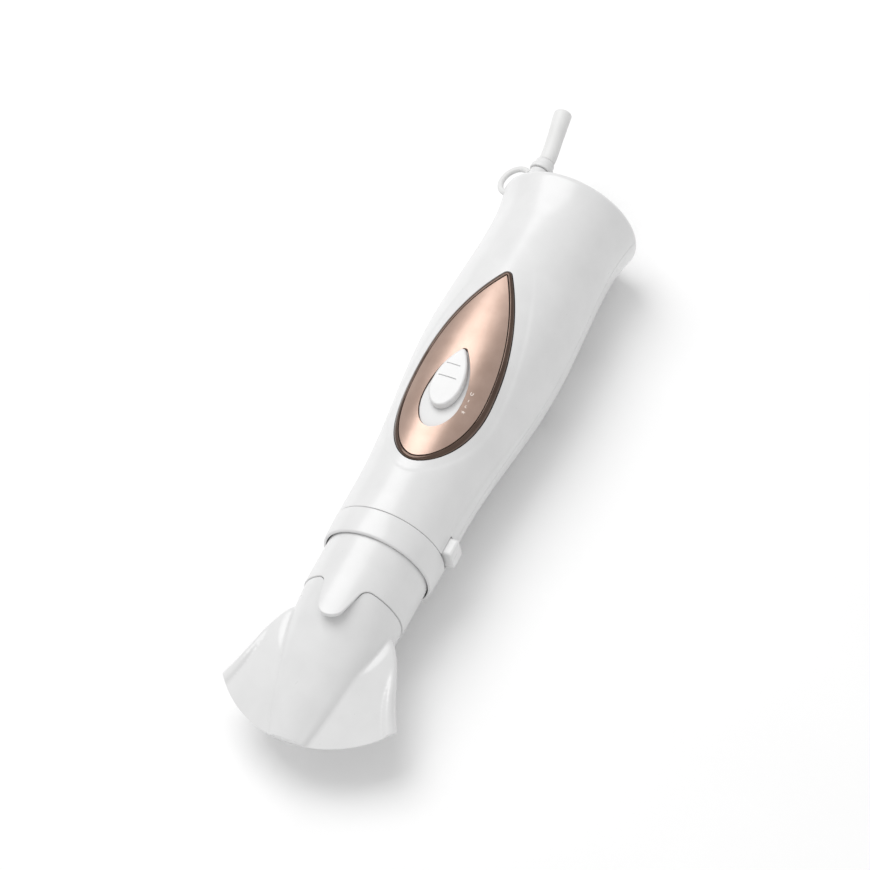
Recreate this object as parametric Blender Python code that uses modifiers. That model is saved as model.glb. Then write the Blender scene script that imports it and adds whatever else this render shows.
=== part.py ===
"""Hot-air styler: a round handle lying on its back, with a wide flat styling nozzle pushed onto it.

+X is the way the air flows, +Z is the side with the slide switch, +Y is the side with the release
button. The origin is the middle of the flat under the belly of the handle, on which it lies.
"""

import math

import bmesh
import bpy
from mathutils import Matrix, Vector

MM = 0.001
GAP = 0.3 * MM
SEGMENTS = 48
CAP_SEGMENTS = 36
INNER_SEGMENTS = 32
SMALL_SEGMENTS = 16

# Handle casing. Places along X are measured from the widest section of the belly.
REAR_X = -75.0 * MM
WAIST_X = -53.0 * MM
NECK_X = 80.0 * MM
SEAM_X = 97.4 * MM
RIM_RADIUS = 30.0 * MM
WAIST_RADIUS = 27.6 * MM
BELLY_RADIUS = 29.8 * MM
NECK_RADIUS = 23.8 * MM
RIM_ROUND = 3.0 * MM
WALL = 2.2 * MM
FLAT_DEPTH = 1.0 * MM
REAR_OPENING_RADIUS = 26.0 * MM
REAR_LIP = 2.1 * MM
AXIS_Z = BELLY_RADIUS - FLAT_DEPTH

# Rear cap with the air inlet.
CAP_DOME = 4.0 * MM
CAP_WALL = 2.0 * MM
CAP_FLANGE_RADIUS = 27.0 * MM
CAP_FLANGE = 1.6 * MM
INLET_SLOT = 2.0 * MM
INLET_PITCH = 4.2 * MM
INLET_SLOTS = 6
INLET_RADIUS = 21.0 * MM

# Panel, its bezel and the switch recess: tear-drops with the point to the rear.
PANEL_POINT_X = -20.0 * MM
PANEL_WIDE_X = 36.0 * MM
PANEL_ROUND_X = 69.0 * MM
PANEL_HALF_WIDTH = 16.1 * MM
PANEL_THICKNESS = 2.0 * MM
PANEL_PROUD = 0.2 * MM
BEZEL_WIDTH = 1.8 * MM
BEZEL_THICKNESS = 2.6 * MM
BEZEL_PROUD = 0.4 * MM
RECESS_POINT_X = 18.2 * MM
RECESS_WIDE_X = 41.0 * MM
RECESS_ROUND_X = 55.6 * MM
RECESS_HALF_WIDTH = 8.6 * MM
RECESS_DEPTH = 1.8 * MM
RECESS_CORNER = 1.5 * MM

# Slide switch.
KNOB_POINT_X = 19.4 * MM
KNOB_WIDE_X = 36.5 * MM
KNOB_ROUND_X = 46.4 * MM
KNOB_HALF_WIDTH = 6.4 * MM
KNOB_CORNER = 1.4 * MM
KNOB_PROUD = 2.3 * MM
KNOB_EDGE = 0.7 * MM
SWITCH_STEP = 2.8 * MM
SWITCH_STEPS = 3
STEM_X = 29.9 * MM
STEM_LENGTH = 5.4 * MM
STEM_WIDTH = 2.6 * MM
STEM_DEPTH = 4.6 * MM
WELL_THICKNESS = 3.9 * MM
WELL_FLANGE = 1.2 * MM
WELL_RIM = 1.6 * MM
SWITCH_BODY_SIZE = (26.0 * MM, 11.0 * MM, 6.5 * MM)
BOARD_SIZE = (38.0 * MM, 20.0 * MM, 1.6 * MM)

# Front ring that the nozzle plugs into.
RING_LENGTH = 11.8 * MM
RING_RADIUS = 24.0 * MM
RING_TAPER = 0.5 * MM
RING_LIP_ROUND = 1.1 * MM
RING_NECK = 5.0 * MM
SOCKET_DEPTH = 9.3 * MM
SOCKET_CLEARANCE = 0.6 * MM
RING_STEP = 2.4 * MM

# Nozzle.
COLLAR_RADIUS = 21.7 * MM
COLLAR_WALL = 1.8 * MM
COLLAR_EDGE_X = 130.1 * MM
TONGUE_LENGTH = 16.7 * MM
TONGUE_ANGLE = math.radians(33.0)
DUCT_RADIUS = 21.2 * MM
DUCT_WALL = 1.6 * MM
DUCT_REAR_X = 113.0 * MM
FAN_CENTRE_X = 143.1 * MM
FAN_RADIUS = 47.6 * MM
FAN_DROP = 8.5 * MM
FAN_SLOPE = 0.39
FAN_FLOOR = 22.0 * MM
WING_THICKNESS = 4.2 * MM
SLOT_HEIGHT = 2.0 * MM
WING_EDGE_WALL = 2.2 * MM
OUTLET_HALF_WIDTH = 38.2 * MM
LOBE_TIP_HALF_WIDTH = 7.4 * MM
LOBE_PROUD = 3.0 * MM
OUTLET_SLANT = math.radians(32.0)

# Release button.
BUTTON_LENGTH = 8.0 * MM
BUTTON_HALF_WIDTH = 5.0 * MM
BUTTON_TOP = 27.4 * MM
BUTTON_EDGE = 1.0 * MM
BUTTON_TRAVEL = 1.5 * MM
BUTTON_FLANGE = 1.0 * MM
LATCH_LENGTH = 12.0 * MM
LATCH_THICKNESS = 1.4 * MM
LATCH_HALF_WIDTH = 2.3 * MM
NOSE_LENGTH = 3.0 * MM
SPRING_RADIUS = 1.8 * MM
SPRING_WIRE = 0.25 * MM
SPRING_TURNS = 5

# Motor, fan and the bracket that holds them.
MOTOR_RADIUS = 13.85 * MM
MOTOR_REAR_X = -44.0 * MM
MOTOR_LENGTH = 32.0 * MM
SHAFT_RADIUS = 1.0 * MM
SHAFT_REAR_X = -60.5 * MM
SHAFT_IN_MOTOR = 6.0 * MM
FAN_TIP_RADIUS = 20.6 * MM
FAN_HUB_RADIUS = 7.0 * MM
FAN_REAR_X = -60.0 * MM
FAN_LENGTH = 11.0 * MM
FAN_BLADES = 7
BLADE_PITCH = math.radians(52.0)
BLADE_LENGTH = 9.0 * MM
BLADE_THICKNESS = 1.2 * MM
SHROUD_RADIUS = 22.6 * MM
SHROUD_WALL = 1.3 * MM
SHROUD_REAR_X = -62.0 * MM
SHROUD_LENGTH = 20.0 * MM
CUP_WALL = 1.4 * MM
CUP_LENGTH = 20.0 * MM
VANES = 6

# Heater.
HOLDER_RADIUS = 17.8 * MM
HOLDER_WALL = 1.0 * MM
HOLDER_X = 58.0 * MM
HOLDER_LENGTH = 33.5 * MM
TUBE_WALL = 0.8 * MM
TUBE_OVERHANG = 3.0 * MM
BOARD_HALF_WIDTH = 12.5 * MM
BOARD_THICKNESS = 0.6 * MM
HEATER_X = 57.0 * MM
HEATER_LENGTH = 33.0 * MM
COIL_RADIUS = 14.0 * MM
COIL_WIRE = 0.45 * MM
COIL_TURNS = 5
COIL_POINTS = 12
GRILLE_X = 97.2 * MM
GRILLE_THICKNESS = 1.6 * MM

# Cord swivel, sleeve and hanging loop at the rear.
CORD_EXIT = (-16.4 * MM, 13.6 * MM)
SOCKET_END_X = -82.5 * MM
SOCKET_RADIUS = 4.2 * MM
SOCKET_BORE = 3.0 * MM
SOCKET_BORE_DEPTH = 6.5 * MM
SWIVEL_RADIUS = 4.9 * MM
SWIVEL_DISC = 2.4 * MM
SWIVEL_NECK_RADIUS = 4.1 * MM
SWIVEL_NECK = 2.6 * MM
SLEEVE_RADIUS = 3.45 * MM
SLEEVE_LENGTH = 25.0 * MM
SLEEVE_LEAN = (-3.9 * MM, 1.6 * MM)
SLEEVE_FLARE = 1.12
CORD_HOLE_RADIUS = 2.0 * MM
LOOP_RADIUS = 6.6 * MM
LOOP_WIRE = 1.25 * MM
LOOP_OFFSET = 10.2 * MM
LOOP_DIRECTION = math.radians(-110.0)
LOOP_START = math.radians(-42.0)
LOOP_END = math.radians(138.0)

# Screws that hold the shells, and the leads inside.
SCREW_PLACES = ((4.0 * MM, 20.5 * MM), (-30.0 * MM, 20.5 * MM))
SCREW_HEAD_RADIUS = 2.6 * MM
SCREW_HEAD = 1.8 * MM
SCREW_RADIUS = 1.4 * MM
SCREW_LENGTH = 15.0 * MM
SCREW_HEAD_DEPTH = 13.5 * MM
BOSS_RADIUS = 3.6 * MM
LEAD_RADIUS = 0.8 * MM
LEAD_CIRCLE = 24.0 * MM
LEAD_ANGLES = (math.radians(-22.0), math.radians(-31.0))

for old in list(bpy.data.objects):
    bpy.data.objects.remove(old, do_unlink=True)

PARTS = bpy.data.collections.new("hot_air_styler")
CUTTERS = bpy.data.collections.new("cutters")
for collection in (PARTS, CUTTERS):
    bpy.context.scene.collection.children.link(collection)


# ---------------------------------------------------------------------------------------------
# Materials
# ---------------------------------------------------------------------------------------------

def finish(name, colour, roughness, metallic=0.0):
    """A Principled material in one colour."""
    made = bpy.data.materials.new(name)
    made.use_nodes = True
    shader = made.node_tree.nodes["Principled BSDF"]
    shader.inputs["Base Color"].default_value = (*colour, 1.0)
    shader.inputs["Roughness"].default_value = roughness
    shader.inputs["Metallic"].default_value = metallic
    return made


WHITE_GLOSS = finish("white_gloss_plastic", (0.84, 0.84, 0.84), 0.22)
WHITE_SATIN = finish("white_satin_plastic", (0.82, 0.82, 0.82), 0.4)
ROSE_GOLD = finish("rose_gold_lacquer", (0.64, 0.47, 0.39), 0.3, 0.7)
BRONZE = finish("bronze_bezel", (0.10, 0.06, 0.045), 0.25, 0.5)
WHITE_RUBBER = finish("white_soft_plastic", (0.80, 0.80, 0.80), 0.55)
BLACK_PLASTIC = finish("black_plastic", (0.03, 0.03, 0.03), 0.5)
STEEL = finish("steel", (0.62, 0.62, 0.62), 0.3, 1.0)
MICA = finish("mica", (0.52, 0.42, 0.28), 0.6)
COPPER = finish("heater_wire", (0.45, 0.36, 0.30), 0.35, 1.0)
GREEN_BOARD = finish("circuit_board", (0.05, 0.20, 0.10), 0.5)
YELLOW = finish("capacitor_yellow", (0.75, 0.60, 0.12), 0.5)
BROWN_WIRE = finish("lead_brown", (0.20, 0.09, 0.04), 0.5)
BLUE_WIRE = finish("lead_blue", (0.05, 0.12, 0.45), 0.5)


# ---------------------------------------------------------------------------------------------
# Modelling helpers
# ---------------------------------------------------------------------------------------------

def place(name, mesh, location=(0.0, 0.0, 0.0)):
    """A new cutter object, which keep() can turn into a part."""
    obj = bpy.data.objects.new(name, mesh)
    obj.location = location
    obj.hide_render = True
    obj.display_type = "WIRE"
    CUTTERS.objects.link(obj)
    return obj


def keep(obj, material, crease=35.0):
    """Makes the object a part: in the object's collection, with its material and smooth shading."""
    CUTTERS.objects.unlink(obj)
    PARTS.objects.link(obj)
    obj.hide_render = False
    obj.display_type = "TEXTURED"
    obj.data.materials.clear()
    obj.data.materials.append(material)
    obj.data.shade_smooth()
    obj.data.set_sharp_from_angle(angle=math.radians(crease))
    return obj


def turned(name, profile, segments=SEGMENTS, centre=(0.0, AXIS_Z), origin_x=0.0):
    """A turned shape about a line along X. The profile is (x, radius) points, in a loop or from
    axis to axis, and centre is the line's (y, z)."""
    points = [(radius, x - origin_x) for x, radius in profile]
    ends = points[1:] + points[:1]
    area = sum(a[0] * b[1] - b[0] * a[1] for a, b in zip(points, ends))
    if area > 0:
        points.reverse()
    open_ends = [i for i, point in enumerate(points) if point[0] == 0.0]
    edges = [(i, i + 1) for i in range(len(points) - 1)]
    if len(open_ends) == 2 and open_ends[1] == open_ends[0] + 1:
        turn = open_ends[1]
        points = points[turn:] + points[:turn]
    elif not open_ends:
        edges.append((len(points) - 1, 0))
    mesh = bpy.data.meshes.new(name)
    mesh.from_pydata([(radius, 0.0, along) for radius, along in points], edges, [])
    obj = place(name, mesh, (origin_x, *centre))
    obj.rotation_euler = (0.0, math.pi / 2, 0.0)
    screw = obj.modifiers.new("turn", "SCREW")
    screw.axis = "Z"
    screw.angle = 2 * math.pi
    screw.steps = segments
    screw.render_steps = segments
    screw.use_merge_vertices = True
    screw.merge_threshold = 1e-6
    return obj


def tube(name, rear, front, inner, outer, segments=SEGMENTS, centre=(0.0, AXIS_Z)):
    """A plain ring or sleeve."""
    return turned(name, [(rear, inner), (rear, outer), (front, outer), (front, inner)], segments, centre)


def rod(name, rear, front, radius, segments=SEGMENTS, centre=(0.0, AXIS_Z)):
    """A solid round bar along X."""
    return turned(name, [(rear, 0.0), (rear, radius), (front, radius), (front, 0.0)], segments, centre)


def box(name, low, high, frame=Matrix()):
    """A block between two corners, in a frame."""
    low, high = Vector(low), Vector(high)
    mesh = bpy.data.meshes.new(name)
    shape = bmesh.new()
    bmesh.ops.create_cube(shape, size=1.0)
    bmesh.ops.scale(shape, vec=high - low, verts=shape.verts)
    shape.to_mesh(mesh)
    shape.free()
    obj = place(name, mesh)
    obj.matrix_world = frame @ Matrix.Translation((low + high) / 2)
    return obj


def pillar(name, centre, low, high, radius, segments=SMALL_SEGMENTS, frame=Matrix()):
    """A round bar along the frame's Z between two heights, at centre (x, y)."""
    mesh = bpy.data.meshes.new(name)
    shape = bmesh.new()
    bmesh.ops.create_cone(
        shape, cap_ends=True, segments=segments, radius1=radius, radius2=radius, depth=high - low
    )
    shape.to_mesh(mesh)
    shape.free()
    obj = place(name, mesh)
    obj.matrix_world = frame @ Matrix.Translation((*centre, (low + high) / 2))
    return obj


def meshed(curve_object):
    """The curve's evaluated shape as a mesh object with welded caps, in its place."""
    bpy.context.view_layer.update()
    graph = bpy.context.evaluated_depsgraph_get()
    mesh = bpy.data.meshes.new_from_object(curve_object.evaluated_get(graph))
    shape = bmesh.new()
    shape.from_mesh(mesh)
    bmesh.ops.remove_doubles(shape, verts=shape.verts, dist=1e-7)
    bmesh.ops.recalc_face_normals(shape, faces=shape.faces)
    shape.to_mesh(mesh)
    shape.free()
    name = curve_object.name
    matrix = curve_object.matrix_world.copy()
    bpy.data.objects.remove(curve_object, do_unlink=True)
    obj = place(name, mesh)
    obj.matrix_world = matrix
    return obj


def prism(name, outline, low, high, frame=Matrix()):
    """A flat outline of (x, y) points, extruded between two heights of a frame."""
    curve = bpy.data.curves.new(name, "CURVE")
    curve.dimensions = "2D"
    curve.fill_mode = "BOTH"
    curve.extrude = (high - low) / 2
    spline = curve.splines.new("POLY")
    spline.points.add(len(outline) - 1)
    for point, (x, y) in zip(spline.points, outline):
        point.co = (x, y, 0.0, 1.0)
    spline.use_cyclic_u = True
    obj = bpy.data.objects.new(name, curve)
    CUTTERS.objects.link(obj)
    obj.matrix_world = frame @ Matrix.Translation((0.0, 0.0, (low + high) / 2))
    return meshed(obj)


def wire(name, points, radius, sides=2, scales=None, origin=(0.0, 0.0, 0.0)):
    """A round bar along points, with closed ends. Its centre line is relative to the origin."""
    curve = bpy.data.curves.new(name, "CURVE")
    curve.dimensions = "3D"
    curve.bevel_depth = radius
    curve.bevel_resolution = sides
    curve.use_fill_caps = True
    spline = curve.splines.new("POLY")
    spline.points.add(len(points) - 1)
    for index, point in enumerate(points):
        spline.points[index].co = (*(Vector(point) - Vector(origin)), 1.0)
        spline.points[index].radius = scales[index] if scales else 1.0
    obj = bpy.data.objects.new(name, curve)
    CUTTERS.objects.link(obj)
    obj.location = origin
    return meshed(obj)


def lofted(name, rings, closed=False, location=(0.0, 0.0, 0.0)):
    """A solid through rings of the same number of points: with end faces, or closed on itself."""
    count = len(rings[0])
    verts = [point for ring in rings for point in ring]
    faces = []
    spans = len(rings) if closed else len(rings) - 1
    for row in range(spans):
        near = row * count
        far = (row + 1) % len(rings) * count
        for i in range(count):
            j = (i + 1) % count
            faces.append((near + i, near + j, far + j, far + i))
    if not closed:
        faces.append(tuple(reversed(range(count))))
        faces.append(tuple(range((len(rings) - 1) * count, len(rings) * count)))
    mesh = bpy.data.meshes.new(name)
    mesh.from_pydata(verts, [], faces)
    shape = bmesh.new()
    shape.from_mesh(mesh)
    bmesh.ops.recalc_face_normals(shape, faces=shape.faces)
    shape.to_mesh(mesh)
    shape.free()
    return place(name, mesh, location)


def combine(obj, others, operation):
    """Boolean modifiers with each of the other objects in turn."""
    for other in others:
        modifier = obj.modifiers.new(other.name, "BOOLEAN")
        modifier.operation = operation
        modifier.solver = "EXACT"
        modifier.object = other
    return obj


def cut(obj, *others):
    return combine(obj, others, "DIFFERENCE")


def join(obj, *others):
    return combine(obj, others, "UNION")


def common(obj, *others):
    return combine(obj, others, "INTERSECT")


def soften(obj, width, segments=2, angle=40.0):
    """Rounded edges."""
    bevel = obj.modifiers.new("soften", "BEVEL")
    bevel.width = width
    bevel.segments = segments
    bevel.limit_method = "ANGLE"
    bevel.angle_limit = math.radians(angle)
    return obj


def hang(parts, name, location):
    """Parents parts to an empty on their joint's axis, where they are."""
    empty = bpy.data.objects.new(name, None)
    empty.location = location
    PARTS.objects.link(empty)
    bpy.context.view_layer.update()
    for part in parts:
        part.parent = empty
        part.matrix_parent_inverse = empty.matrix_world.inverted()


# ---------------------------------------------------------------------------------------------
# Outlines and profiles
# ---------------------------------------------------------------------------------------------

def ease(share):
    """0 to 1 with a level start and end."""
    return (1 - math.cos(math.pi * share)) / 2


def casing_radius(x):
    """The casing's outer radius along the handle."""
    rim_x = REAR_X + RIM_ROUND
    if x < WAIST_X:
        share = (WAIST_X - max(x, rim_x)) / (WAIST_X - rim_x)
        return WAIST_RADIUS + (RIM_RADIUS - WAIST_RADIUS) * share * share
    if x < 0:
        return WAIST_RADIUS + (BELLY_RADIUS - WAIST_RADIUS) * ease((x - WAIST_X) / -WAIST_X)
    if x < NECK_X:
        return BELLY_RADIUS + (NECK_RADIUS - BELLY_RADIUS) * ease(x / NECK_X)
    return NECK_RADIUS


def stations(start, end, count):
    return [start + (end - start) * i / count for i in range(count + 1)]


def arc(centre, radius, start, end, count):
    """Points on an arc about centre, with angles in degrees."""
    angles = [math.radians(a) for a in stations(start, end, count)]
    return [(centre[0] + radius * math.cos(a), centre[1] + radius * math.sin(a)) for a in angles]


def teardrop(point_x, wide_x, round_x, half_width, grow=0.0, rear_count=9, front_count=8):
    """An outline pointed at point_x and round at round_x, widest at wide_x, grown by a distance.
    What is grown has an arc about the point."""
    half = []
    for share in stations(0.0, 1.0, rear_count):
        x = point_x + (wide_x - point_x) * share
        half.append((x, half_width * (1 - (1 - share) ** 2.2)))
    for angle in stations(0.0, math.pi / 2, front_count)[1:]:
        x = wide_x + (round_x - wide_x) * math.sin(angle)
        half.append((x, half_width * math.cos(angle) ** 1.1))
    grown = []
    first = math.atan2(half[1][0] - half[0][0], -(half[1][1] - half[0][1]))
    if grow:
        for angle in stations(math.pi, first, 3):
            grown.append((half[0][0] + grow * math.cos(angle), grow * math.sin(angle)))
    else:
        grown.append(half[0])
    for before, here, after in zip(half, half[1:], half[2:]):
        along = Vector((after[0] - before[0], after[1] - before[1])).normalized()
        grown.append((here[0] - along.y * grow, here[1] + along.x * grow))
    grown.append((half[-1][0] + grow, 0.0))
    mirrored = [(x, -y) for x, y in reversed(grown[1:-1])]
    return grown + mirrored


def collar_edge(angle):
    """How far forward the collar's edge lies at an angle from the switch side: it has one tongue."""
    share = min(abs(angle) / TONGUE_ANGLE, 1.0)
    return COLLAR_EDGE_X + TONGUE_LENGTH * (1 - ease(share ** 1.25))


def wave_sleeve(name, rear_x, inner, outer, offset):
    """A sleeve about the axis whose front edge follows the collar's edge."""
    count = 72
    rings = []
    for i in range(count):
        angle = 2 * math.pi * i / count - math.pi
        front_x = collar_edge(angle) + offset
        side = Vector((0.0, math.sin(angle), math.cos(angle)))
        section = ((rear_x, inner), (rear_x, outer), (front_x, outer), (front_x, inner))
        rings.append([Vector((x, 0.0, 0.0)) + side * radius for x, radius in section])
    return lofted(name, rings, closed=True, location=(0.0, 0.0, AXIS_Z))


def fan_height(distance):
    """The height of the wings' middle surface over the axis, at a distance from the fan's centre."""
    return -FAN_DROP + FAN_SLOPE * (FAN_RADIUS - max(distance, FAN_FLOOR))


# ---------------------------------------------------------------------------------------------
# Casing
# ---------------------------------------------------------------------------------------------

FRONT_X = SEAM_X - GAP
CAVITY_RADIUS = NECK_RADIUS - WALL
RING_FRONT_X = SEAM_X + RING_LENGTH
SOCKET_RADIUS_INNER = COLLAR_RADIUS + SOCKET_CLEARANCE
COLLAR_INNER = COLLAR_RADIUS - COLLAR_WALL
SPIGOT_REAR_X = RING_FRONT_X - SOCKET_DEPTH + SOCKET_CLEARANCE
BUTTON_FRONT_X = SEAM_X - 3 * GAP
BUTTON_REAR_X = BUTTON_FRONT_X - BUTTON_LENGTH
FLANGE_TOP = math.sqrt(CAVITY_RADIUS ** 2 - (BUTTON_HALF_WIDTH + 1.0 * MM) ** 2) - GAP
FLANGE_BOTTOM = FLANGE_TOP - BUTTON_FLANGE
LATCH_TOP = math.sqrt(COLLAR_INNER ** 2 - LATCH_HALF_WIDTH ** 2) - GAP
LATCH_BOTTOM = LATCH_TOP - LATCH_THICKNESS
LATCH_FRONT_X = BUTTON_FRONT_X - 3.0 * MM + LATCH_LENGTH


def casing_solid():
    """The casing's outer form as a solid."""
    rounding = arc((REAR_X + RIM_ROUND, RIM_RADIUS - RIM_ROUND), RIM_ROUND, 180, 90, 3)
    rear = [(x, casing_radius(x)) for x in stations(REAR_X + RIM_ROUND, WAIST_X, 3)[1:]]
    belly = [(x, casing_radius(x)) for x in stations(WAIST_X, 0.0, 4)[1:]]
    neck = [(x, casing_radius(x)) for x in stations(0.0, NECK_X, 7)[1:]]
    ends = [(FRONT_X, NECK_RADIUS), (FRONT_X, 0.0)]
    return turned("casing", [(REAR_X, 0.0)] + rounding + rear + belly + neck + ends)


def screw_centres():
    return [(x, side * y) for x, y in SCREW_PLACES for side in (1, -1)]


def casing_cavity():
    """The space inside the casing, without the screw bosses."""
    lip_x = REAR_X + REAR_LIP
    points = [(REAR_X - REAR_LIP, 0.0), (REAR_X - REAR_LIP, REAR_OPENING_RADIUS)]
    points.append((lip_x, REAR_OPENING_RADIUS))
    for x in stations(lip_x, WAIST_X, 2) + stations(WAIST_X, 0.0, 2)[1:] + stations(0.0, NECK_X, 5)[1:]:
        points.append((x, casing_radius(x) - WALL))
    points += [(SEAM_X + WALL, CAVITY_RADIUS), (SEAM_X + WALL, 0.0)]
    cavity = turned("cavity", points, INNER_SEGMENTS)
    for index, centre in enumerate(screw_centres()):
        cut(cavity, pillar(f"boss_{index}", centre, 0.0, 2 * AXIS_Z, BOSS_RADIUS, 12))
    return cavity


def button_slot(name):
    """The slot in the casing's side for the release button, open to the front."""
    side = BUTTON_HALF_WIDTH + GAP
    low = (BUTTON_REAR_X - GAP, CAVITY_RADIUS * 0.7, AXIS_Z - side)
    high = (SEAM_X + WALL, BUTTON_TOP + WALL, AXIS_Z + side)
    return box(name, low, high)


def bezel_outline(grow):
    return teardrop(PANEL_POINT_X, PANEL_WIDE_X, PANEL_ROUND_X, PANEL_HALF_WIDTH, grow)


def make_shells():
    """Two half shells, split at the height of the axis and trimmed flat underneath."""
    reach = 2 * RIM_RADIUS
    upper = casing_solid()
    upper.name = "upper_shell"
    cut(upper, casing_cavity())
    half = box("upper_half", (-reach * 2, -reach, AXIS_Z + GAP / 2), (reach * 2, reach, AXIS_Z + reach))
    common(upper, half)
    opening = prism(
        "panel_opening", bezel_outline(BEZEL_WIDTH + 2 * GAP), AXIS_Z + NECK_RADIUS / 2, AXIS_Z + reach
    )
    cut(upper, opening, button_slot("upper_slot"))
    lower = casing_solid()
    lower.name = "lower_shell"
    cut(lower, casing_cavity())
    half = box("lower_half", (-reach * 2, -reach, 0.0), (reach * 2, reach, AXIS_Z - GAP / 2))
    common(lower, half)
    cut(lower, button_slot("lower_slot"))
    seat_z = AXIS_Z - SCREW_HEAD_DEPTH
    for index, centre in enumerate(screw_centres()):
        head = pillar(f"head_hole_{index}", centre, -reach, seat_z, SCREW_HEAD_RADIUS + GAP)
        shank = pillar(f"shank_hole_{index}", centre, 0.0, AXIS_Z + SCREW_LENGTH, SCREW_RADIUS + GAP, 12)
        pilot_top = seat_z + SCREW_LENGTH + GAP
        pilot = pillar(f"pilot_{index}", centre, 0.0, pilot_top, SCREW_RADIUS + GAP, 12)
        cut(lower, head, shank)
        cut(upper, pilot)
    keep(upper, WHITE_GLOSS)
    keep(lower, WHITE_GLOSS)


def make_screws():
    for index, centre in enumerate(screw_centres()):
        seat_z = AXIS_Z - SCREW_HEAD_DEPTH - GAP
        top = AXIS_Z - SCREW_HEAD_DEPTH + SCREW_LENGTH - GAP
        head = pillar(f"case_screw_{index + 1}", centre, seat_z - SCREW_HEAD, seat_z, SCREW_HEAD_RADIUS)
        join(head, pillar(f"shank_{index}", centre, seat_z - SCREW_HEAD / 2, top, SCREW_RADIUS, 12))
        slot_low = (centre[0] - SCREW_HEAD_RADIUS, centre[1] - GAP, seat_z - 2 * SCREW_HEAD)
        slot_high = (centre[0] + SCREW_HEAD_RADIUS, centre[1] + GAP, seat_z - SCREW_HEAD * 0.6)
        cut(head, box(f"driver_slot_{index}", slot_low, slot_high))
        keep(head, STEEL)


def make_rear_cap():
    """Domed grille held behind the casing's rear lip, with the socket for the cord swivel."""
    lip_x = REAR_X + REAR_LIP + GAP
    edge = REAR_OPENING_RADIUS - GAP
    steps = stations(0.0, math.pi / 2, 3)
    dome = [(REAR_X - CAP_DOME * math.cos(a), edge * math.sin(a)) for a in steps]
    inside = [(x + CAP_WALL, radius * (edge - CAP_WALL) / edge) for x, radius in reversed(dome)]
    flange = [(lip_x, edge), (lip_x, CAP_FLANGE_RADIUS), (lip_x + CAP_FLANGE, CAP_FLANGE_RADIUS)]
    flange.append((lip_x + CAP_FLANGE, edge - CAP_WALL))
    cap = turned("rear_cap", dome + flange + inside, CAP_SEGMENTS)
    for index in range(INLET_SLOTS):
        y = (index - 1) * INLET_PITCH
        half = math.sqrt(INLET_RADIUS ** 2 - y * y)
        low = (REAR_X - 2 * CAP_DOME, y - INLET_SLOT / 2, AXIS_Z - half)
        high = (REAR_X + 2 * CAP_DOME, y + INLET_SLOT / 2, AXIS_Z + half)
        cut(cap, box(f"inlet_{index}", low, high))
    centre = (CORD_EXIT[0], AXIS_Z + CORD_EXIT[1])
    join(cap, rod("cord_socket", SOCKET_END_X, REAR_X + GAP, SOCKET_RADIUS, 24, centre))
    bore_end = SOCKET_END_X + SOCKET_BORE_DEPTH
    cut(cap, rod("cord_bore", SOCKET_END_X - CAP_WALL, bore_end, SOCKET_BORE + GAP, 20, centre))
    keep(cap, WHITE_SATIN)


def make_ring():
    """The outlet ring: a neck inside the casing, a wall, and a socket for the nozzle."""
    chamfer = RING_LIP_ROUND / 3
    lip_radius = RING_RADIUS - RING_TAPER - RING_LIP_ROUND
    lip = arc((RING_FRONT_X - RING_LIP_ROUND, lip_radius), RING_LIP_ROUND, 90, 0, 3)
    neck_outer = CAVITY_RADIUS - GAP
    socket_x = RING_FRONT_X - SOCKET_DEPTH
    profile = [(SEAM_X - RING_NECK, COLLAR_INNER), (SEAM_X - RING_NECK, neck_outer), (SEAM_X, neck_outer)]
    profile += [(SEAM_X, RING_RADIUS - chamfer), (SEAM_X + chamfer, RING_RADIUS)] + lip
    profile += [(RING_FRONT_X, SOCKET_RADIUS_INNER), (socket_x, SOCKET_RADIUS_INNER)]
    profile.append((socket_x, COLLAR_INNER))
    ring = turned("front_ring", profile)
    side = BUTTON_HALF_WIDTH + 1.0 * MM + 2 * GAP
    slot = box("ring_neck_slot", (0.0, 0.0, AXIS_Z - side), (SEAM_X, BUTTON_TOP, AXIS_Z + side))
    low = (0.0, 0.0, AXIS_Z - LATCH_HALF_WIDTH - GAP)
    high = (socket_x + WALL, LATCH_TOP + 2 * GAP, AXIS_Z + LATCH_HALF_WIDTH + GAP)
    passage = box("latch_passage", low, high)
    cut(ring, slot, passage)
    keep(ring, WHITE_GLOSS)


# ---------------------------------------------------------------------------------------------
# Panel and switch
# ---------------------------------------------------------------------------------------------

SLOPE = math.atan2(
    casing_radius(RECESS_POINT_X) - casing_radius(RECESS_ROUND_X), RECESS_ROUND_X - RECESS_POINT_X
)
MIDDLE_X = (RECESS_POINT_X + RECESS_ROUND_X) / 2
# The switch's own frame: X along its slide, Z out of the panel, on the panel's surface. The heights
# below it are those of the recess floor, the well's flange, the switch body and the board.
SWITCH_FRAME = (
    Matrix.Translation((MIDDLE_X, 0.0, AXIS_Z + casing_radius(MIDDLE_X)))
    @ Matrix.Rotation(SLOPE, 4, "Y")
    @ Matrix.Translation((-MIDDLE_X, 0.0, 0.0))
)
FLOOR = -RECESS_DEPTH
FLANGE_UNDER = FLOOR - WELL_THICKNESS
BODY_TOP = FLANGE_UNDER - GAP
BOARD_TOP = BODY_TOP - SWITCH_BODY_SIZE[2] - GAP
TRAVEL = SWITCH_STEP * SWITCH_STEPS
BODY_X = STEM_X + (STEM_LENGTH + TRAVEL - SWITCH_BODY_SIZE[0]) / 2
BOARD_X = BODY_X + (SWITCH_BODY_SIZE[0] - BOARD_SIZE[0]) / 2


def recess_outline(grow):
    corner = RECESS_CORNER
    return teardrop(
        RECESS_POINT_X + corner, RECESS_WIDE_X, RECESS_ROUND_X - corner,
        RECESS_HALF_WIDTH - corner, corner + grow, 6, 6
    )


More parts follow.
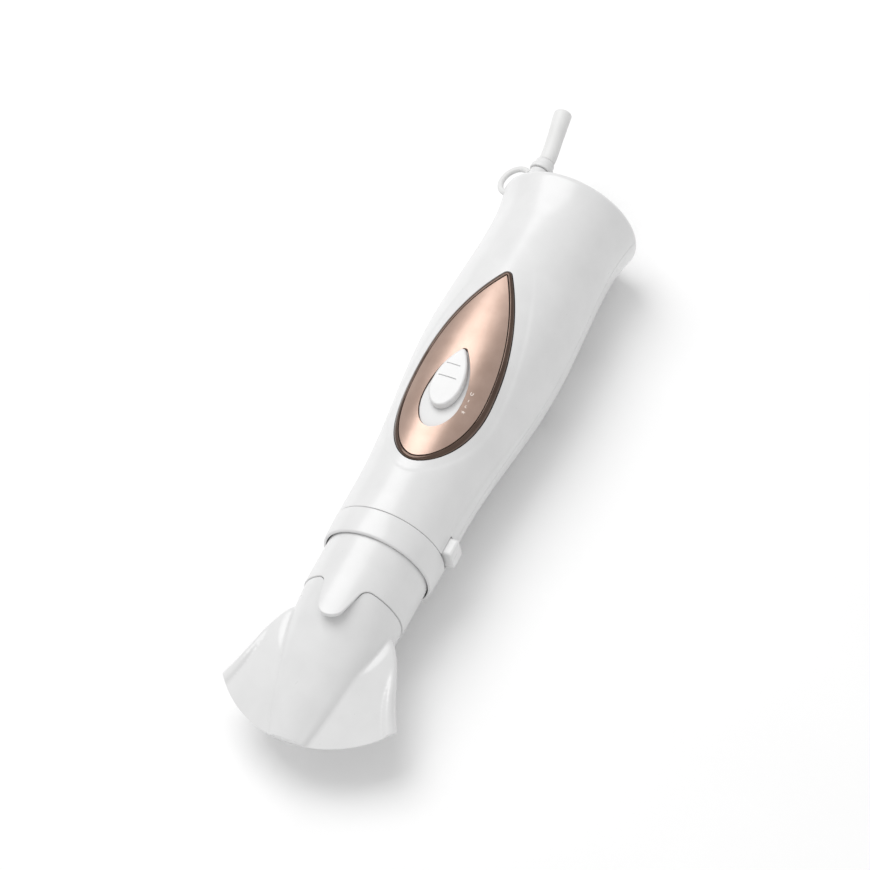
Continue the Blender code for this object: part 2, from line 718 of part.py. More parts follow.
def knob_outline(grow):
    corner = KNOB_CORNER
    return teardrop(
        KNOB_POINT_X + corner, KNOB_WIDE_X, KNOB_ROUND_X - corner,
        KNOB_HALF_WIDTH - corner, corner + grow, 6, 6
    )


def skin(name, proud, thickness):
    """A layer that follows the casing's surface, over the length of the panel."""
    margin = 4.0 * MM
    xs = stations(PANEL_POINT_X - margin, PANEL_ROUND_X + margin, 10)
    outer = [(x, casing_radius(x) + proud) for x in xs]
    inner = [(x, casing_radius(x) + proud - thickness) for x in reversed(xs)]
    return turned(name, outer + inner)


def make_panel():
    top = AXIS_Z + 2 * BELLY_RADIUS
    panel = skin("switch_panel", PANEL_PROUD, PANEL_THICKNESS)
    common(panel, prism("panel_outline", bezel_outline(0.0), AXIS_Z + NECK_RADIUS / 2, top))
    reach = PANEL_THICKNESS * 3
    recess = prism("panel_recess", recess_outline(0.0), -reach, reach, SWITCH_FRAME)
    cut(panel, recess)
    bezel = skin("panel_bezel", BEZEL_PROUD, BEZEL_THICKNESS)
    common(bezel, prism("bezel_outline", bezel_outline(BEZEL_WIDTH + GAP), AXIS_Z + NECK_RADIUS / 2, top))
    cut(bezel, prism("bezel_inside", bezel_outline(GAP), 0.0, top + MM))
    keep(panel, ROSE_GOLD)
    keep(bezel, BRONZE)


def make_switch():
    """Well under the recess, knob with its stem, and the switch body that the stem works."""
    flange_top = FLANGE_UNDER + WELL_FLANGE
    well = prism("switch_well", recess_outline(-GAP), flange_top - GAP, FLOOR, SWITCH_FRAME)
    join(well, prism("well_flange", recess_outline(WELL_RIM), FLANGE_UNDER, flange_top, SWITCH_FRAME))
    side = STEM_WIDTH / 2 + GAP
    slot_end = STEM_X + STEM_LENGTH + TRAVEL + GAP
    slot_low = (STEM_X - GAP, -side, FLANGE_UNDER - MM)
    cut(well, box("well_slot", slot_low, (slot_end, side, FLOOR + MM), SWITCH_FRAME))
    keep(well, WHITE_SATIN)

    knob_low = FLOOR + GAP
    knob = prism("switch_knob", knob_outline(0.0), knob_low, KNOB_PROUD, SWITCH_FRAME)
    soften(knob, KNOB_EDGE)
    stem_low = (STEM_X, -STEM_WIDTH / 2, BODY_TOP - STEM_DEPTH)
    stem_high = (STEM_X + STEM_LENGTH, STEM_WIDTH / 2, knob_low + GAP)
    join(knob, box("knob_stem", stem_low, stem_high, SWITCH_FRAME))
    keep(knob, WHITE_GLOSS)
    hang([knob], "switch_slide_axis", SWITCH_FRAME @ Vector((STEM_X, 0.0, 0.0)))

    length, width, height = SWITCH_BODY_SIZE
    low = (BODY_X, -width / 2, BODY_TOP - height)
    body = box("switch_body", low, (BODY_X + length, width / 2, BODY_TOP), SWITCH_FRAME)
    pocket_low = (STEM_X - GAP, -side, BODY_TOP - STEM_DEPTH - GAP)
    cut(body, box("body_pocket", pocket_low, (slot_end, side, BODY_TOP + MM), SWITCH_FRAME))
    keep(body, BLACK_PLASTIC)


def make_board():
    """Circuit board under the switch body, with the two largest parts hanging from it."""
    length, width, height = BOARD_SIZE
    low = (BOARD_X, -width / 2, BOARD_TOP - height)
    high = (BOARD_X + length, width / 2, BOARD_TOP)
    keep(box("circuit_board", low, high, SWITCH_FRAME), GREEN_BOARD)
    under = low[2] - GAP
    low = (BOARD_X + 3.0 * MM, -6.0 * MM, under - 8.0 * MM)
    high = (BOARD_X + 15.0 * MM, 1.0 * MM, under)
    block = box("capacitor", low, high, SWITCH_FRAME)
    keep(soften(block, 0.8 * MM, 1), YELLOW)
    low = (BOARD_X + 20.0 * MM, -4.0 * MM, under - 6.0 * MM)
    high = (BOARD_X + 30.0 * MM, 6.0 * MM, under)
    block = box("rectifier", low, high, SWITCH_FRAME)
    keep(soften(block, 0.8 * MM, 1), BLACK_PLASTIC)


# ---------------------------------------------------------------------------------------------
# Release button
# ---------------------------------------------------------------------------------------------

def make_release():
    """Button with a flange inside the casing, and a latch arm that reaches into the nozzle."""
    width = BUTTON_HALF_WIDTH
    low = (BUTTON_REAR_X, FLANGE_BOTTOM, AXIS_Z - width)
    button = box("release_button", low, (BUTTON_FRONT_X, BUTTON_TOP, AXIS_Z + width))
    soften(button, BUTTON_EDGE)
    rim = 1.0 * MM
    low = (BUTTON_REAR_X - rim, FLANGE_BOTTOM, AXIS_Z - width - rim)
    flange = box("button_flange", low, (BUTTON_FRONT_X, FLANGE_TOP, AXIS_Z + width + rim))
    arm_rear_x = BUTTON_FRONT_X - 3.0 * MM
    half = LATCH_HALF_WIDTH
    low = (arm_rear_x, LATCH_BOTTOM, AXIS_Z - half)
    arm = box("latch_arm", low, (LATCH_FRONT_X, LATCH_TOP, AXIS_Z + half))
    web_top = FLANGE_TOP - GAP
    web = box("latch_web", low, (BUTTON_FRONT_X, web_top, AXIS_Z + half))
    nose_low = (LATCH_FRONT_X - NOSE_LENGTH, LATCH_BOTTOM, AXIS_Z - half + GAP)
    nose = box("latch_nose", nose_low, (LATCH_FRONT_X, COLLAR_RADIUS - 2 * GAP, AXIS_Z + half - GAP))
    join(button, flange, arm, web, nose)
    spring_x = (BUTTON_REAR_X + arm_rear_x) / 2
    turn = Matrix.Translation((spring_x, 0.0, AXIS_Z)) @ Matrix.Rotation(-math.pi / 2, 4, "X")
    pocket_top = BUTTON_TOP - 1.6 * MM
    pocket_radius = SPRING_RADIUS + SPRING_WIRE + GAP
    cut(button, pillar("spring_pocket", (0.0, 0.0), 0.0, pocket_top, pocket_radius, SMALL_SEGMENTS, turn))
    keep(button, WHITE_GLOSS)
    hang([button], "release_axis", (spring_x, BUTTON_TOP, AXIS_Z))

    low_y = HOLDER_RADIUS + SPRING_WIRE + GAP
    high_y = pocket_top - BUTTON_TRAVEL - SPRING_WIRE - GAP
    steps = 10 * SPRING_TURNS
    points = []
    for i in range(steps + 1):
        angle = 2 * math.pi * i / 10
        x = spring_x + SPRING_RADIUS * math.cos(angle)
        points.append((x, low_y + (high_y - low_y) * i / steps, AXIS_Z + SPRING_RADIUS * math.sin(angle)))
    keep(wire("release_spring", points, SPRING_WIRE, 1), STEEL)


# ---------------------------------------------------------------------------------------------
# Motor, fan and heater
# ---------------------------------------------------------------------------------------------

def make_motor():
    rear = MOTOR_REAR_X
    front = rear + MOTOR_LENGTH
    boss = 3.0 * MM
    step = 1.5 * MM
    bore_end = rear + SHAFT_IN_MOTOR
    bore = SHAFT_RADIUS + GAP
    profile = [(bore_end, 0.0), (bore_end, bore), (rear - step, bore), (rear - step, boss), (rear, boss)]
    profile += [(rear, MOTOR_RADIUS - step), (rear + step, MOTOR_RADIUS), (front - step, MOTOR_RADIUS)]
    profile += [(front, MOTOR_RADIUS - step), (front, boss), (front + step, boss), (front + step, 0.0)]
    keep(turned("motor_can", profile, INNER_SEGMENTS), STEEL)


def make_fan():
    """Shaft, hub and pitched blades, all turning about the axis."""
    shaft_end = MOTOR_REAR_X + SHAFT_IN_MOTOR - GAP
    shaft = rod("motor_shaft", SHAFT_REAR_X, shaft_end, SHAFT_RADIUS, SMALL_SEGMENTS)
    keep(shaft, STEEL)
    front = FAN_REAR_X + FAN_LENGTH
    bore = SHAFT_RADIUS + GAP
    nose = 2.0 * MM
    nose_x = FAN_REAR_X - nose
    profile = [(nose_x, 0.0), (nose_x, FAN_HUB_RADIUS * 0.6), (FAN_REAR_X, FAN_HUB_RADIUS)]
    profile += [(front, FAN_HUB_RADIUS), (front, bore), (SHAFT_REAR_X - GAP, bore), (SHAFT_REAR_X - GAP, 0.0)]
    hub = turned("fan_rotor", profile, 28)
    middle = (FAN_REAR_X + front) / 2
    root = FAN_HUB_RADIUS - 1.0 * MM
    for index in range(FAN_BLADES):
        frame = (
            Matrix.Translation((middle, 0.0, AXIS_Z))
            @ Matrix.Rotation(2 * math.pi * index / FAN_BLADES, 4, "X")
            @ Matrix.Rotation(BLADE_PITCH, 4, "Z")
        )
        half = (BLADE_LENGTH / 2, BLADE_THICKNESS / 2)
        tip = math.sqrt(FAN_TIP_RADIUS ** 2 - half[0] ** 2)
        blade = box(f"blade_{index}", (-half[0], -half[1], root), (half[0], half[1], tip), frame)
        join(hub, blade)
    keep(hub, BLACK_PLASTIC)
    hang([hub, shaft], "fan_axis", (FAN_REAR_X, 0.0, AXIS_Z))


def make_bracket():
    """Shroud around the fan, guide vanes, and the cup that grips the motor."""
    shroud_end = SHROUD_REAR_X + SHROUD_LENGTH
    inner = SHROUD_RADIUS - SHROUD_WALL
    bracket = tube("motor_bracket", SHROUD_REAR_X, shroud_end, inner, SHROUD_RADIUS, INNER_SEGMENTS)
    cup_inner = MOTOR_RADIUS + GAP
    cup_outer = cup_inner + CUP_WALL
    cup_end = MOTOR_REAR_X + CUP_LENGTH
    join(bracket, tube("motor_cup", MOTOR_REAR_X, cup_end, cup_inner, cup_outer, INNER_SEGMENTS))
    for index in range(VANES):
        frame = Matrix.Translation((0.0, 0.0, AXIS_Z)) @ Matrix.Rotation(2 * math.pi * index / VANES, 4, "X")
        low = (MOTOR_REAR_X + MM, -0.6 * MM, cup_inner + CUP_WALL / 2)
        high = (shroud_end, 0.6 * MM, inner + SHROUD_WALL / 2)
        join(bracket, box(f"vane_{index}", low, high, frame))
    rib_x = SHROUD_REAR_X + 9.0 * MM
    rib_radius = casing_radius(rib_x + MM) - WALL - 2 * GAP
    rib_inner = inner + SHROUD_WALL / 2
    join(bracket, tube("bracket_rib", rib_x, rib_x + 2.0 * MM, rib_inner, rib_radius, INNER_SEGMENTS))
    for index, angle in enumerate(LEAD_ANGLES):
        y = LEAD_CIRCLE * math.sin(angle)
        z = AXIS_Z + LEAD_CIRCLE * math.cos(angle)
        cut(bracket, rod(f"lead_notch_{index}", rib_x - MM, rib_x + 3.0 * MM, LEAD_RADIUS + GAP, 12, (y, z)))
    keep(bracket, BLACK_PLASTIC)


def make_heater():
    """Carrier, mica tube, crossed boards, coil and the two safety cut-outs."""
    holder_end = HOLDER_X + HOLDER_LENGTH
    inner = HOLDER_RADIUS - HOLDER_WALL
    holder = tube("heater_holder", HOLDER_X, holder_end, inner, HOLDER_RADIUS, INNER_SEGMENTS)
    for index, x in enumerate((HOLDER_X + 4.0 * MM, HOLDER_X + 20.0 * MM)):
        radius = casing_radius(x + 2.0 * MM) - WALL - 2 * GAP
        low = HOLDER_RADIUS - HOLDER_WALL / 2
        join(holder, tube(f"holder_rib_{index}", x, x + 2.0 * MM, low, radius, INNER_SEGMENTS))
    keep(holder, BLACK_PLASTIC)
    tube_outer = inner - GAP
    mica_end = holder_end - MM
    mica_x = HOLDER_X - TUBE_OVERHANG
    keep(tube("heater_tube", mica_x, mica_end, tube_outer - TUBE_WALL, tube_outer, INNER_SEGMENTS), MICA)

    end = HEATER_X + HEATER_LENGTH
    half = BOARD_THICKNESS / 2
    middle = HEATER_X + HEATER_LENGTH / 2
    low = (HEATER_X, -half, AXIS_Z - BOARD_HALF_WIDTH)
    upright = box("heater_board_upright", low, (end, half, AXIS_Z + BOARD_HALF_WIDTH))
    low = (HEATER_X, -BOARD_HALF_WIDTH, AXIS_Z - half)
    flat = box("heater_board_flat", low, (end, BOARD_HALF_WIDTH, AXIS_Z + half))
    slot = half + GAP
    low = (HEATER_X - MM, -BOARD_HALF_WIDTH, AXIS_Z - slot)
    cut(upright, box("upright_slot", low, (middle + GAP, BOARD_HALF_WIDTH, AXIS_Z + slot)))
    low = (middle - GAP, -slot, AXIS_Z - BOARD_HALF_WIDTH)
    cut(flat, box("flat_slot", low, (end + MM, slot, AXIS_Z + BOARD_HALF_WIDTH)))
    keep(upright, MICA)
    keep(flat, MICA)

    steps = COIL_TURNS * COIL_POINTS
    points = []
    for i in range(steps + 1):
        angle = 2 * math.pi * i / COIL_POINTS
        x = HEATER_X + 3.0 * MM + (HEATER_LENGTH - 6.0 * MM) * i / steps
        points.append((x, COIL_RADIUS * math.cos(angle), AXIS_Z + COIL_RADIUS * math.sin(angle)))
    keep(wire("heater_coil", points, COIL_WIRE, 1), COPPER)

    low = (HEATER_X + 4 * MM, half + GAP, AXIS_Z + half + GAP)
    block = box("thermostat", low, (HEATER_X + 13 * MM, 7.5 * MM, AXIS_Z + 4.5 * MM))
    keep(block, STEEL)
    fuse_centre = (-4.0 * MM, AXIS_Z + 3.0 * MM)
    fuse_x = HEATER_X + 4.0 * MM
    keep(rod("thermal_fuse", fuse_x, fuse_x + 9.0 * MM, 1.6 * MM, SMALL_SEGMENTS, fuse_centre), STEEL)


def make_grille():
    """Guard in front of the heater: rings on crossed bars, with room for the latch arm."""
    front = GRILLE_X + GRILLE_THICKNESS
    outer = COLLAR_INNER - GAP
    bar = 1.2 * MM
    grille = tube("outlet_grille", GRILLE_X, front, outer - bar, outer, INNER_SEGMENTS)
    for index, share in enumerate((0.3, 0.63)):
        radius = outer * share
        join(grille, tube(f"grille_ring_{index}", GRILLE_X, front, radius - bar, radius, 24))
    for index in range(3):
        frame = Matrix.Translation((0.0, 0.0, AXIS_Z)) @ Matrix.Rotation(math.pi * (index + 0.5) / 3, 4, "X")
        low = (GRILLE_X + GAP / 3, -bar / 2, -outer + bar / 2)
        high = (front - GAP / 3, bar / 2, outer - bar / 2)
        join(grille, box(f"grille_bar_{index}", low, high, frame))
    side = LATCH_HALF_WIDTH + 2 * GAP
    low = (GRILLE_X - MM, LATCH_BOTTOM - BUTTON_TRAVEL - GAP, AXIS_Z - side)
    cut(grille, box("latch_room", low, (front + MM, BUTTON_TOP, AXIS_Z + side)))
    keep(grille, BLACK_PLASTIC)


# ---------------------------------------------------------------------------------------------
# Nozzle
# ---------------------------------------------------------------------------------------------

# The lobe's hollow ends no higher than the slot between the wings.
TOP_TIP_INSET = LOBE_PROUD + (WING_THICKNESS - SLOT_HEIGHT) / 2 + GAP / 3


def oval(x, half_width, top, bottom, count=28):
    """A section of the nozzle across X, from its half width and its top and bottom over the axis."""
    middle = (top + bottom) / 2
    height = (top - bottom) / 2
    angles = [2 * math.pi * i / count for i in range(count)]
    return [(x, half_width * math.sin(a), middle + height * math.cos(a)) for a in angles]


def lobe(name, inset, overrun):
    """The round duct that narrows to a lobe in the middle of the outlet."""
    start_x = COLLAR_EDGE_X
    end_x = FAN_CENTRE_X + FAN_RADIUS + MM
    outlet_top = -FAN_DROP + WING_THICKNESS / 2 + LOBE_PROUD
    outlet_bottom = -FAN_DROP - WING_THICKNESS / 2 - GAP
    rings = [oval(DUCT_REAR_X - overrun, DUCT_RADIUS - inset, DUCT_RADIUS - inset, inset - DUCT_RADIUS)]
    for share in stations(0.0, 1.0, 7):
        x = start_x + (end_x - start_x) * share
        half_width = DUCT_RADIUS - (DUCT_RADIUS - LOBE_TIP_HALF_WIDTH) * share ** 2.1
        top = DUCT_RADIUS + (outlet_top - DUCT_RADIUS) * share ** 1.15
        bottom = -DUCT_RADIUS + (outlet_bottom + DUCT_RADIUS) * share ** 1.15
        tip_inset = inset + (min(inset, WING_THICKNESS / 4) - inset) * share
        top_inset = inset + (TOP_TIP_INSET - inset) * share if inset else 0.0
        rings.append(oval(x, half_width - tip_inset, top - top_inset, bottom + tip_inset))
    if overrun:
        rings.append([(x + overrun, y, z) for x, y, z in rings[-1]])
    return lofted(name, rings, location=(0.0, 0.0, AXIS_Z))


def wing_half_angle(distance, inset):
    """Half the fan's opening angle at a distance from its centre. The edges are nearly straight
    lines from the side of the duct to the outlet's ends."""
    tip_angle = math.asin(OUTLET_HALF_WIDTH / FAN_RADIUS)
    tip = Vector((FAN_RADIUS * math.cos(tip_angle), FAN_RADIUS * math.sin(tip_angle)))
    root = Vector((-3.0 * MM, DUCT_RADIUS - 3.0 * MM))
    share = (distance - DUCT_RADIUS) / (FAN_RADIUS - DUCT_RADIUS)
    line = root.lerp(tip, min(max(share, 0.0), 1.0)) - Vector((0.0, inset))
    bow = 1.7 * MM * math.sin(math.pi * min(max(share, 0.0), 1.0))
    return math.atan2(line.y - bow, line.x)


def wings(name, thickness, inset, overrun):
    """The fan on both sides of the lobe: a sloping sheet, thickened."""
    rows = stations(DUCT_RADIUS, FAN_RADIUS, 5) + [FAN_RADIUS + overrun]
    columns = 12
    verts = []
    for distance in rows:
        half = wing_half_angle(distance, inset)
        for i in range(columns + 1):
            angle = half * (2 * i / columns - 1)
            x = FAN_CENTRE_X + distance * math.cos(angle)
            verts.append((x, distance * math.sin(angle), fan_height(min(distance, FAN_RADIUS))))
    faces = []
    across = columns + 1
    for row in range(len(rows) - 1):
        for i in range(columns):
            here = row * across + i
            faces.append((here, here + across, here + across + 1, here + 1))
    mesh = bpy.data.meshes.new(name)
    mesh.from_pydata(verts, [], faces)
    sheet = place(name, mesh, (0.0, 0.0, AXIS_Z))
    solidify = sheet.modifiers.new("thickness", "SOLIDIFY")
    solidify.thickness = thickness
    solidify.offset = 0.0
    return sheet


def outlet_trim(name):
    """What is kept of the nozzle: inside an arc, and slanted back below the wings' upper edge so that
    the air slot opens downward."""
    edge_z = AXIS_Z + fan_height(FAN_RADIUS) + WING_THICKNESS / 2
    low_radius = FAN_RADIUS - edge_z * math.tan(OUTLET_SLANT)
    levels = ((2 * AXIS_Z, FAN_RADIUS), (edge_z, FAN_RADIUS), (0.0, low_radius))
    count = 80
    rings = []
    for z, radius in levels:
        angles = [2 * math.pi * i / count for i in range(count)]
        rings.append([(FAN_CENTRE_X + radius * math.cos(a), radius * math.sin(a), z) for a in angles])
    return lofted(name, rings)


def make_nozzle():
    collar = wave_sleeve("nozzle_collar", SPIGOT_REAR_X, COLLAR_INNER, COLLAR_RADIUS, 0.0)
    side = LATCH_HALF_WIDTH + 2 * GAP
    low = (SPIGOT_REAR_X - MM, 0.0, AXIS_Z - side)
    cut(collar, box("latch_slot", low, (LATCH_FRONT_X + 2 * GAP, RING_RADIUS, AXIS_Z + side)))
    keep(collar, WHITE_GLOSS)

    duct = lobe("nozzle_body", 0.0, 0.0)
    join(duct, wings("wings", WING_THICKNESS, 0.0, MM))
    cut(duct, lobe("lobe_inside", DUCT_WALL + COLLAR_WALL, 2.0 * MM))
    cut(duct, wings("wings_inside", SLOT_HEIGHT, WING_EDGE_WALL, 3.0 * MM))
    common(duct, outlet_trim("outlet_arc"))
    cut(duct, wave_sleeve("collar_room", DUCT_REAR_X - MM, COLLAR_INNER - GAP, 2 * DUCT_RADIUS, GAP))
    keep(duct, WHITE_GLOSS)
    hang([collar, duct], "nozzle_axis", (RING_FRONT_X, 0.0, AXIS_Z))


# ---------------------------------------------------------------------------------------------
# Cord end and leads
# ---------------------------------------------------------------------------------------------

def make_cord_end():
    """Swivel, sleeve and hanging loop. No cord is shown beyond the sleeve."""
    y, z = CORD_EXIT[0], AXIS_Z + CORD_EXIT[1]
    disc_x = SOCKET_END_X - GAP
    neck_x = disc_x - SWIVEL_DISC
    end_x = neck_x - SWIVEL_NECK
    pin_x = SOCKET_END_X + SOCKET_BORE_DEPTH - GAP
    profile = [(pin_x, 0.0), (pin_x, SOCKET_BORE), (disc_x, SOCKET_BORE), (disc_x, SWIVEL_RADIUS)]
    profile += [(neck_x + 0.5 * MM, SWIVEL_RADIUS), (neck_x, SWIVEL_RADIUS - 0.5 * MM)]
    profile.append((neck_x, SWIVEL_NECK_RADIUS))
    profile += [(end_x + 0.6 * MM, SWIVEL_NECK_RADIUS), (end_x, SLEEVE_RADIUS), (end_x, 0.0)]
    swivel = keep(turned("cord_swivel", profile, 28, (y, z), neck_x), WHITE_SATIN)

    start_x = end_x - GAP
    points = []
    scales = []
    for share in stations(0.0, 1.0, 10):
        lean = max(share - 0.1, 0.0) ** 1.1
        points.append((start_x - SLEEVE_LENGTH * share, y + SLEEVE_LEAN[0] * lean, z + SLEEVE_LEAN[1] * lean))
        scales.append(1.0 + (SLEEVE_FLARE - 1.0) * max(share - 0.5, 0.0) * 2)
    scales[-1] *= 0.82
    sleeve = wire("cord_sleeve", points, SLEEVE_RADIUS, 4, scales, (start_x, y, z))
    tip = Vector(points[-1])
    direction = (tip - Vector(points[-3])).normalized()
    frame = Matrix.Translation(tip) @ direction.to_track_quat("Z", "Y").to_matrix().to_4x4()
    cut(sleeve, pillar("cord_hole", (0.0, 0.0), -6.0 * MM, MM, CORD_HOLE_RADIUS, 12, frame))
    keep(sleeve, WHITE_RUBBER)
    hang([swivel, sleeve], "cord_axis", (neck_x, y, z))

    outward = Vector((0.0, math.sin(LOOP_DIRECTION), math.cos(LOOP_DIRECTION)))
    rearward = Vector((-1.0, 0.0, 0.0))
    centre = Vector((REAR_X - 2.3 * MM, y, z)) + outward * LOOP_OFFSET
    points = []
    for angle in stations(LOOP_START, LOOP_END, 18):
        points.append(centre + (outward * math.cos(angle) + rearward * math.sin(angle)) * LOOP_RADIUS)
    keep(wire("hanging_loop", points, LOOP_WIRE, 2), WHITE_RUBBER)


def make_leads():
    """Two wires from the rear, along the inside of the casing, to the circuit board."""
    for index, (angle, material) in enumerate(zip(LEAD_ANGLES, (BROWN_WIRE, BLUE_WIRE))):
        points = []
        for x in stations(REAR_X + 9.0 * MM, BOARD_X - 10.0 * MM, 4):
            points.append((x, LEAD_CIRCLE * math.sin(angle), AXIS_Z + LEAD_CIRCLE * math.cos(angle)))
        last = Vector(points[-1])
        y = -2.0 * MM - index * 4.0 * MM
        goal = SWITCH_FRAME @ Vector((BOARD_X - LEAD_RADIUS - GAP, y, BOARD_TOP - BOARD_SIZE[2] / 2))
        for share in stations(0.0, 1.0, 5)[1:]:
            bend = last.lerp(goal, ease(share))
            bend.x = last.x + (goal.x - last.x) * share
            points.append(bend)
        keep(wire(f"supply_lead_{index + 1}", points, LEAD_RADIUS, 1), material)


make_shells()
make_screws()
make_rear_cap()
make_ring()
make_panel()
make_switch()
make_board()
make_release()
make_motor()
make_fan()
make_bracket()
make_heater()
make_grille()
make_nozzle()
make_cord_end()
make_leads()
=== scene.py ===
"""Looks of the hot-air styler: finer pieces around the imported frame, finishes, light and camera."""
import math

import bpy
import numpy as np
from mathutils import Matrix, Vector


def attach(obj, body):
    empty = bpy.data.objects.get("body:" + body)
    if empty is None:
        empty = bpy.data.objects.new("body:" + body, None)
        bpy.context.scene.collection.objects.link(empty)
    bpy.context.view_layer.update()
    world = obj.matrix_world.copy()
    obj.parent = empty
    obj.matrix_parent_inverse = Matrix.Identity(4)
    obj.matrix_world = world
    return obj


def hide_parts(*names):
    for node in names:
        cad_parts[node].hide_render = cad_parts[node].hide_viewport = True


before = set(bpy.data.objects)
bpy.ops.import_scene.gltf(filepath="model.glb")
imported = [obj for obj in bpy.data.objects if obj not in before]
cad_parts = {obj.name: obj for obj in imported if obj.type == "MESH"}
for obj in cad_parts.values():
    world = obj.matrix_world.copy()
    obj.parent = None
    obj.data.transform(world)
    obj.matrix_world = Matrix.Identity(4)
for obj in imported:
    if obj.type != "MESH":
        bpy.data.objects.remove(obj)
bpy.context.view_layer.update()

MM = 0.001
GAP = 0.3 * MM
TAU = 2 * math.pi

REAR_X, WAIST_X, NECK_X, SEAM_X = -75.0 * MM, -53.0 * MM, 80.0 * MM, 97.4 * MM
RIM_RADIUS, WAIST_RADIUS, BELLY_RADIUS, NECK_RADIUS = 30.0 * MM, 27.6 * MM, 29.8 * MM, 23.8 * MM
RIM_ROUND, WALL = 3.0 * MM, 2.2 * MM
AXIS_Z = BELLY_RADIUS - 1.0 * MM
FRONT_X = SEAM_X - GAP
CAVITY_RADIUS = NECK_RADIUS - WALL
REAR_OPENING_RADIUS, REAR_LIP = 26.0 * MM, 2.1 * MM
CAP_WALL, CAP_FLANGE_RADIUS, CAP_FLANGE = 2.0 * MM, 27.0 * MM, 1.6 * MM
INLET_COUNT, INLET_PITCH, INLET_HALF_WIDTH, INLET_FIELD_RADIUS = 6, 4.2 * MM, 1.0 * MM, 21.0 * MM
SCREW_PLACES = ((4.0, 20.5), (4.0, -20.5), (-30.0, 20.5), (-30.0, -20.5))
SCREW_HOLE_RADIUS = 2.9 * MM
HALF_SEAM = 0.06 * MM
BUTTON_TOP, BUTTON_REAR_X, BUTTON_HALF_WIDTH = 27.4 * MM, 88.5 * MM, 5.0 * MM
RING_SLOT_HALF_WIDTH, LATCH_PASS_HALF_WIDTH, LATCH_SLOT_HALF_WIDTH = 6.6 * MM, 2.6 * MM, 2.9 * MM
PANEL_PROUD, PANEL_THICKNESS, MARK_Y = 0.2 * MM, 2.0 * MM, 10.4 * MM
COLLAR_RADIUS, COLLAR_INNER = 21.7 * MM, 19.9 * MM
COLLAR_REAR_X, COLLAR_EDGE_X, TONGUE_LENGTH = 100.5 * MM, 130.1 * MM, 16.7 * MM
DUCT_RADIUS, DUCT_REAR_X = 21.2 * MM, 113.0 * MM
FAN_CENTRE_X, FAN_RADIUS, FAN_DROP = 143.1 * MM, 47.6 * MM, 8.5 * MM
FAN_SLOPE, FAN_FLOOR = 0.39, 22.0 * MM
WING_THICKNESS, SLOT_HEIGHT, WING_EDGE_WALL = 4.2 * MM, 2.0 * MM, 2.2 * MM
OUTLET_HALF_WIDTH, LOBE_TIP_HALF_WIDTH, LOBE_PROUD = 38.2 * MM, 7.4 * MM, 3.0 * MM
OUTLET_SLANT = math.radians(32.0)
BEAD_CLEARANCE = 0.70 * MM
CORD_Y, CORD_Z = -16.4 * MM, AXIS_Z + 13.6 * MM
LOOP_RADIUS, LOOP_WIRE_RADIUS, LOOP_OFFSET = 6.6 * MM, 1.25 * MM, 10.2 * MM
# The switch slides on a line through MIDDLE_X that leans by SLOPE radians.
SLOPE = 0.106305
MIDDLE_X = 36.9 * MM


# ---------------------------------------------------------------------------------------------
# Finishes
# ---------------------------------------------------------------------------------------------

def finish(
    name, low, high, roughness, metallic=0.0, coat=0.0, cloud=90.0, grain=2500.0, depth=0.01, spread=0.05,
    coat_roughness=0.06, stretch=(1.0, 1.0, 1.0)
):
    """A finish with a cloud of colour between low and high, and a fine grain in gloss and relief.
    The depth of the relief is in millimetres."""
    material = bpy.data.materials.new(name)
    material.use_nodes = True
    tree = material.node_tree
    shader = tree.nodes["Principled BSDF"]
    shader.inputs["Metallic"].default_value = metallic
    shader.inputs["Coat Weight"].default_value = coat
    shader.inputs["Coat Roughness"].default_value = coat_roughness
    place = tree.nodes.new("ShaderNodeTexCoord")
    mapping = tree.nodes.new("ShaderNodeMapping")
    mapping.inputs["Scale"].default_value = stretch
    tree.links.new(place.outputs["Object"], mapping.inputs["Vector"])
    clouds = tree.nodes.new("ShaderNodeTexNoise")
    clouds.inputs["Scale"].default_value = cloud
    clouds.inputs["Detail"].default_value = 4.0
    tree.links.new(mapping.outputs["Vector"], clouds.inputs["Vector"])
    ramp = tree.nodes.new("ShaderNodeValToRGB")
    ramp.color_ramp.elements[0].position = 0.3
    ramp.color_ramp.elements[0].color = (*low, 1.0)
    ramp.color_ramp.elements[1].position = 0.7
    ramp.color_ramp.elements[1].color = (*high, 1.0)
    tree.links.new(clouds.outputs["Fac"], ramp.inputs["Fac"])
    tree.links.new(ramp.outputs["Color"], shader.inputs["Base Color"])
    grains = tree.nodes.new("ShaderNodeTexNoise")
    grains.inputs["Scale"].default_value = grain
    grains.inputs["Detail"].default_value = 2.0
    tree.links.new(mapping.outputs["Vector"], grains.inputs["Vector"])
    gloss = tree.nodes.new("ShaderNodeMapRange")
    gloss.inputs["To Min"].default_value = max(roughness - spread, 0.02)
    gloss.inputs["To Max"].default_value = roughness + spread
    tree.links.new(grains.outputs["Fac"], gloss.inputs["Value"])
    tree.links.new(gloss.outputs["Result"], shader.inputs["Roughness"])
    relief = tree.nodes.new("ShaderNodeBump")
    relief.inputs["Strength"].default_value = 0.5
    relief.inputs["Distance"].default_value = depth * MM
    tree.links.new(grains.outputs["Fac"], relief.inputs["Height"])
    tree.links.new(relief.outputs["Normal"], shader.inputs["Normal"])
    return material


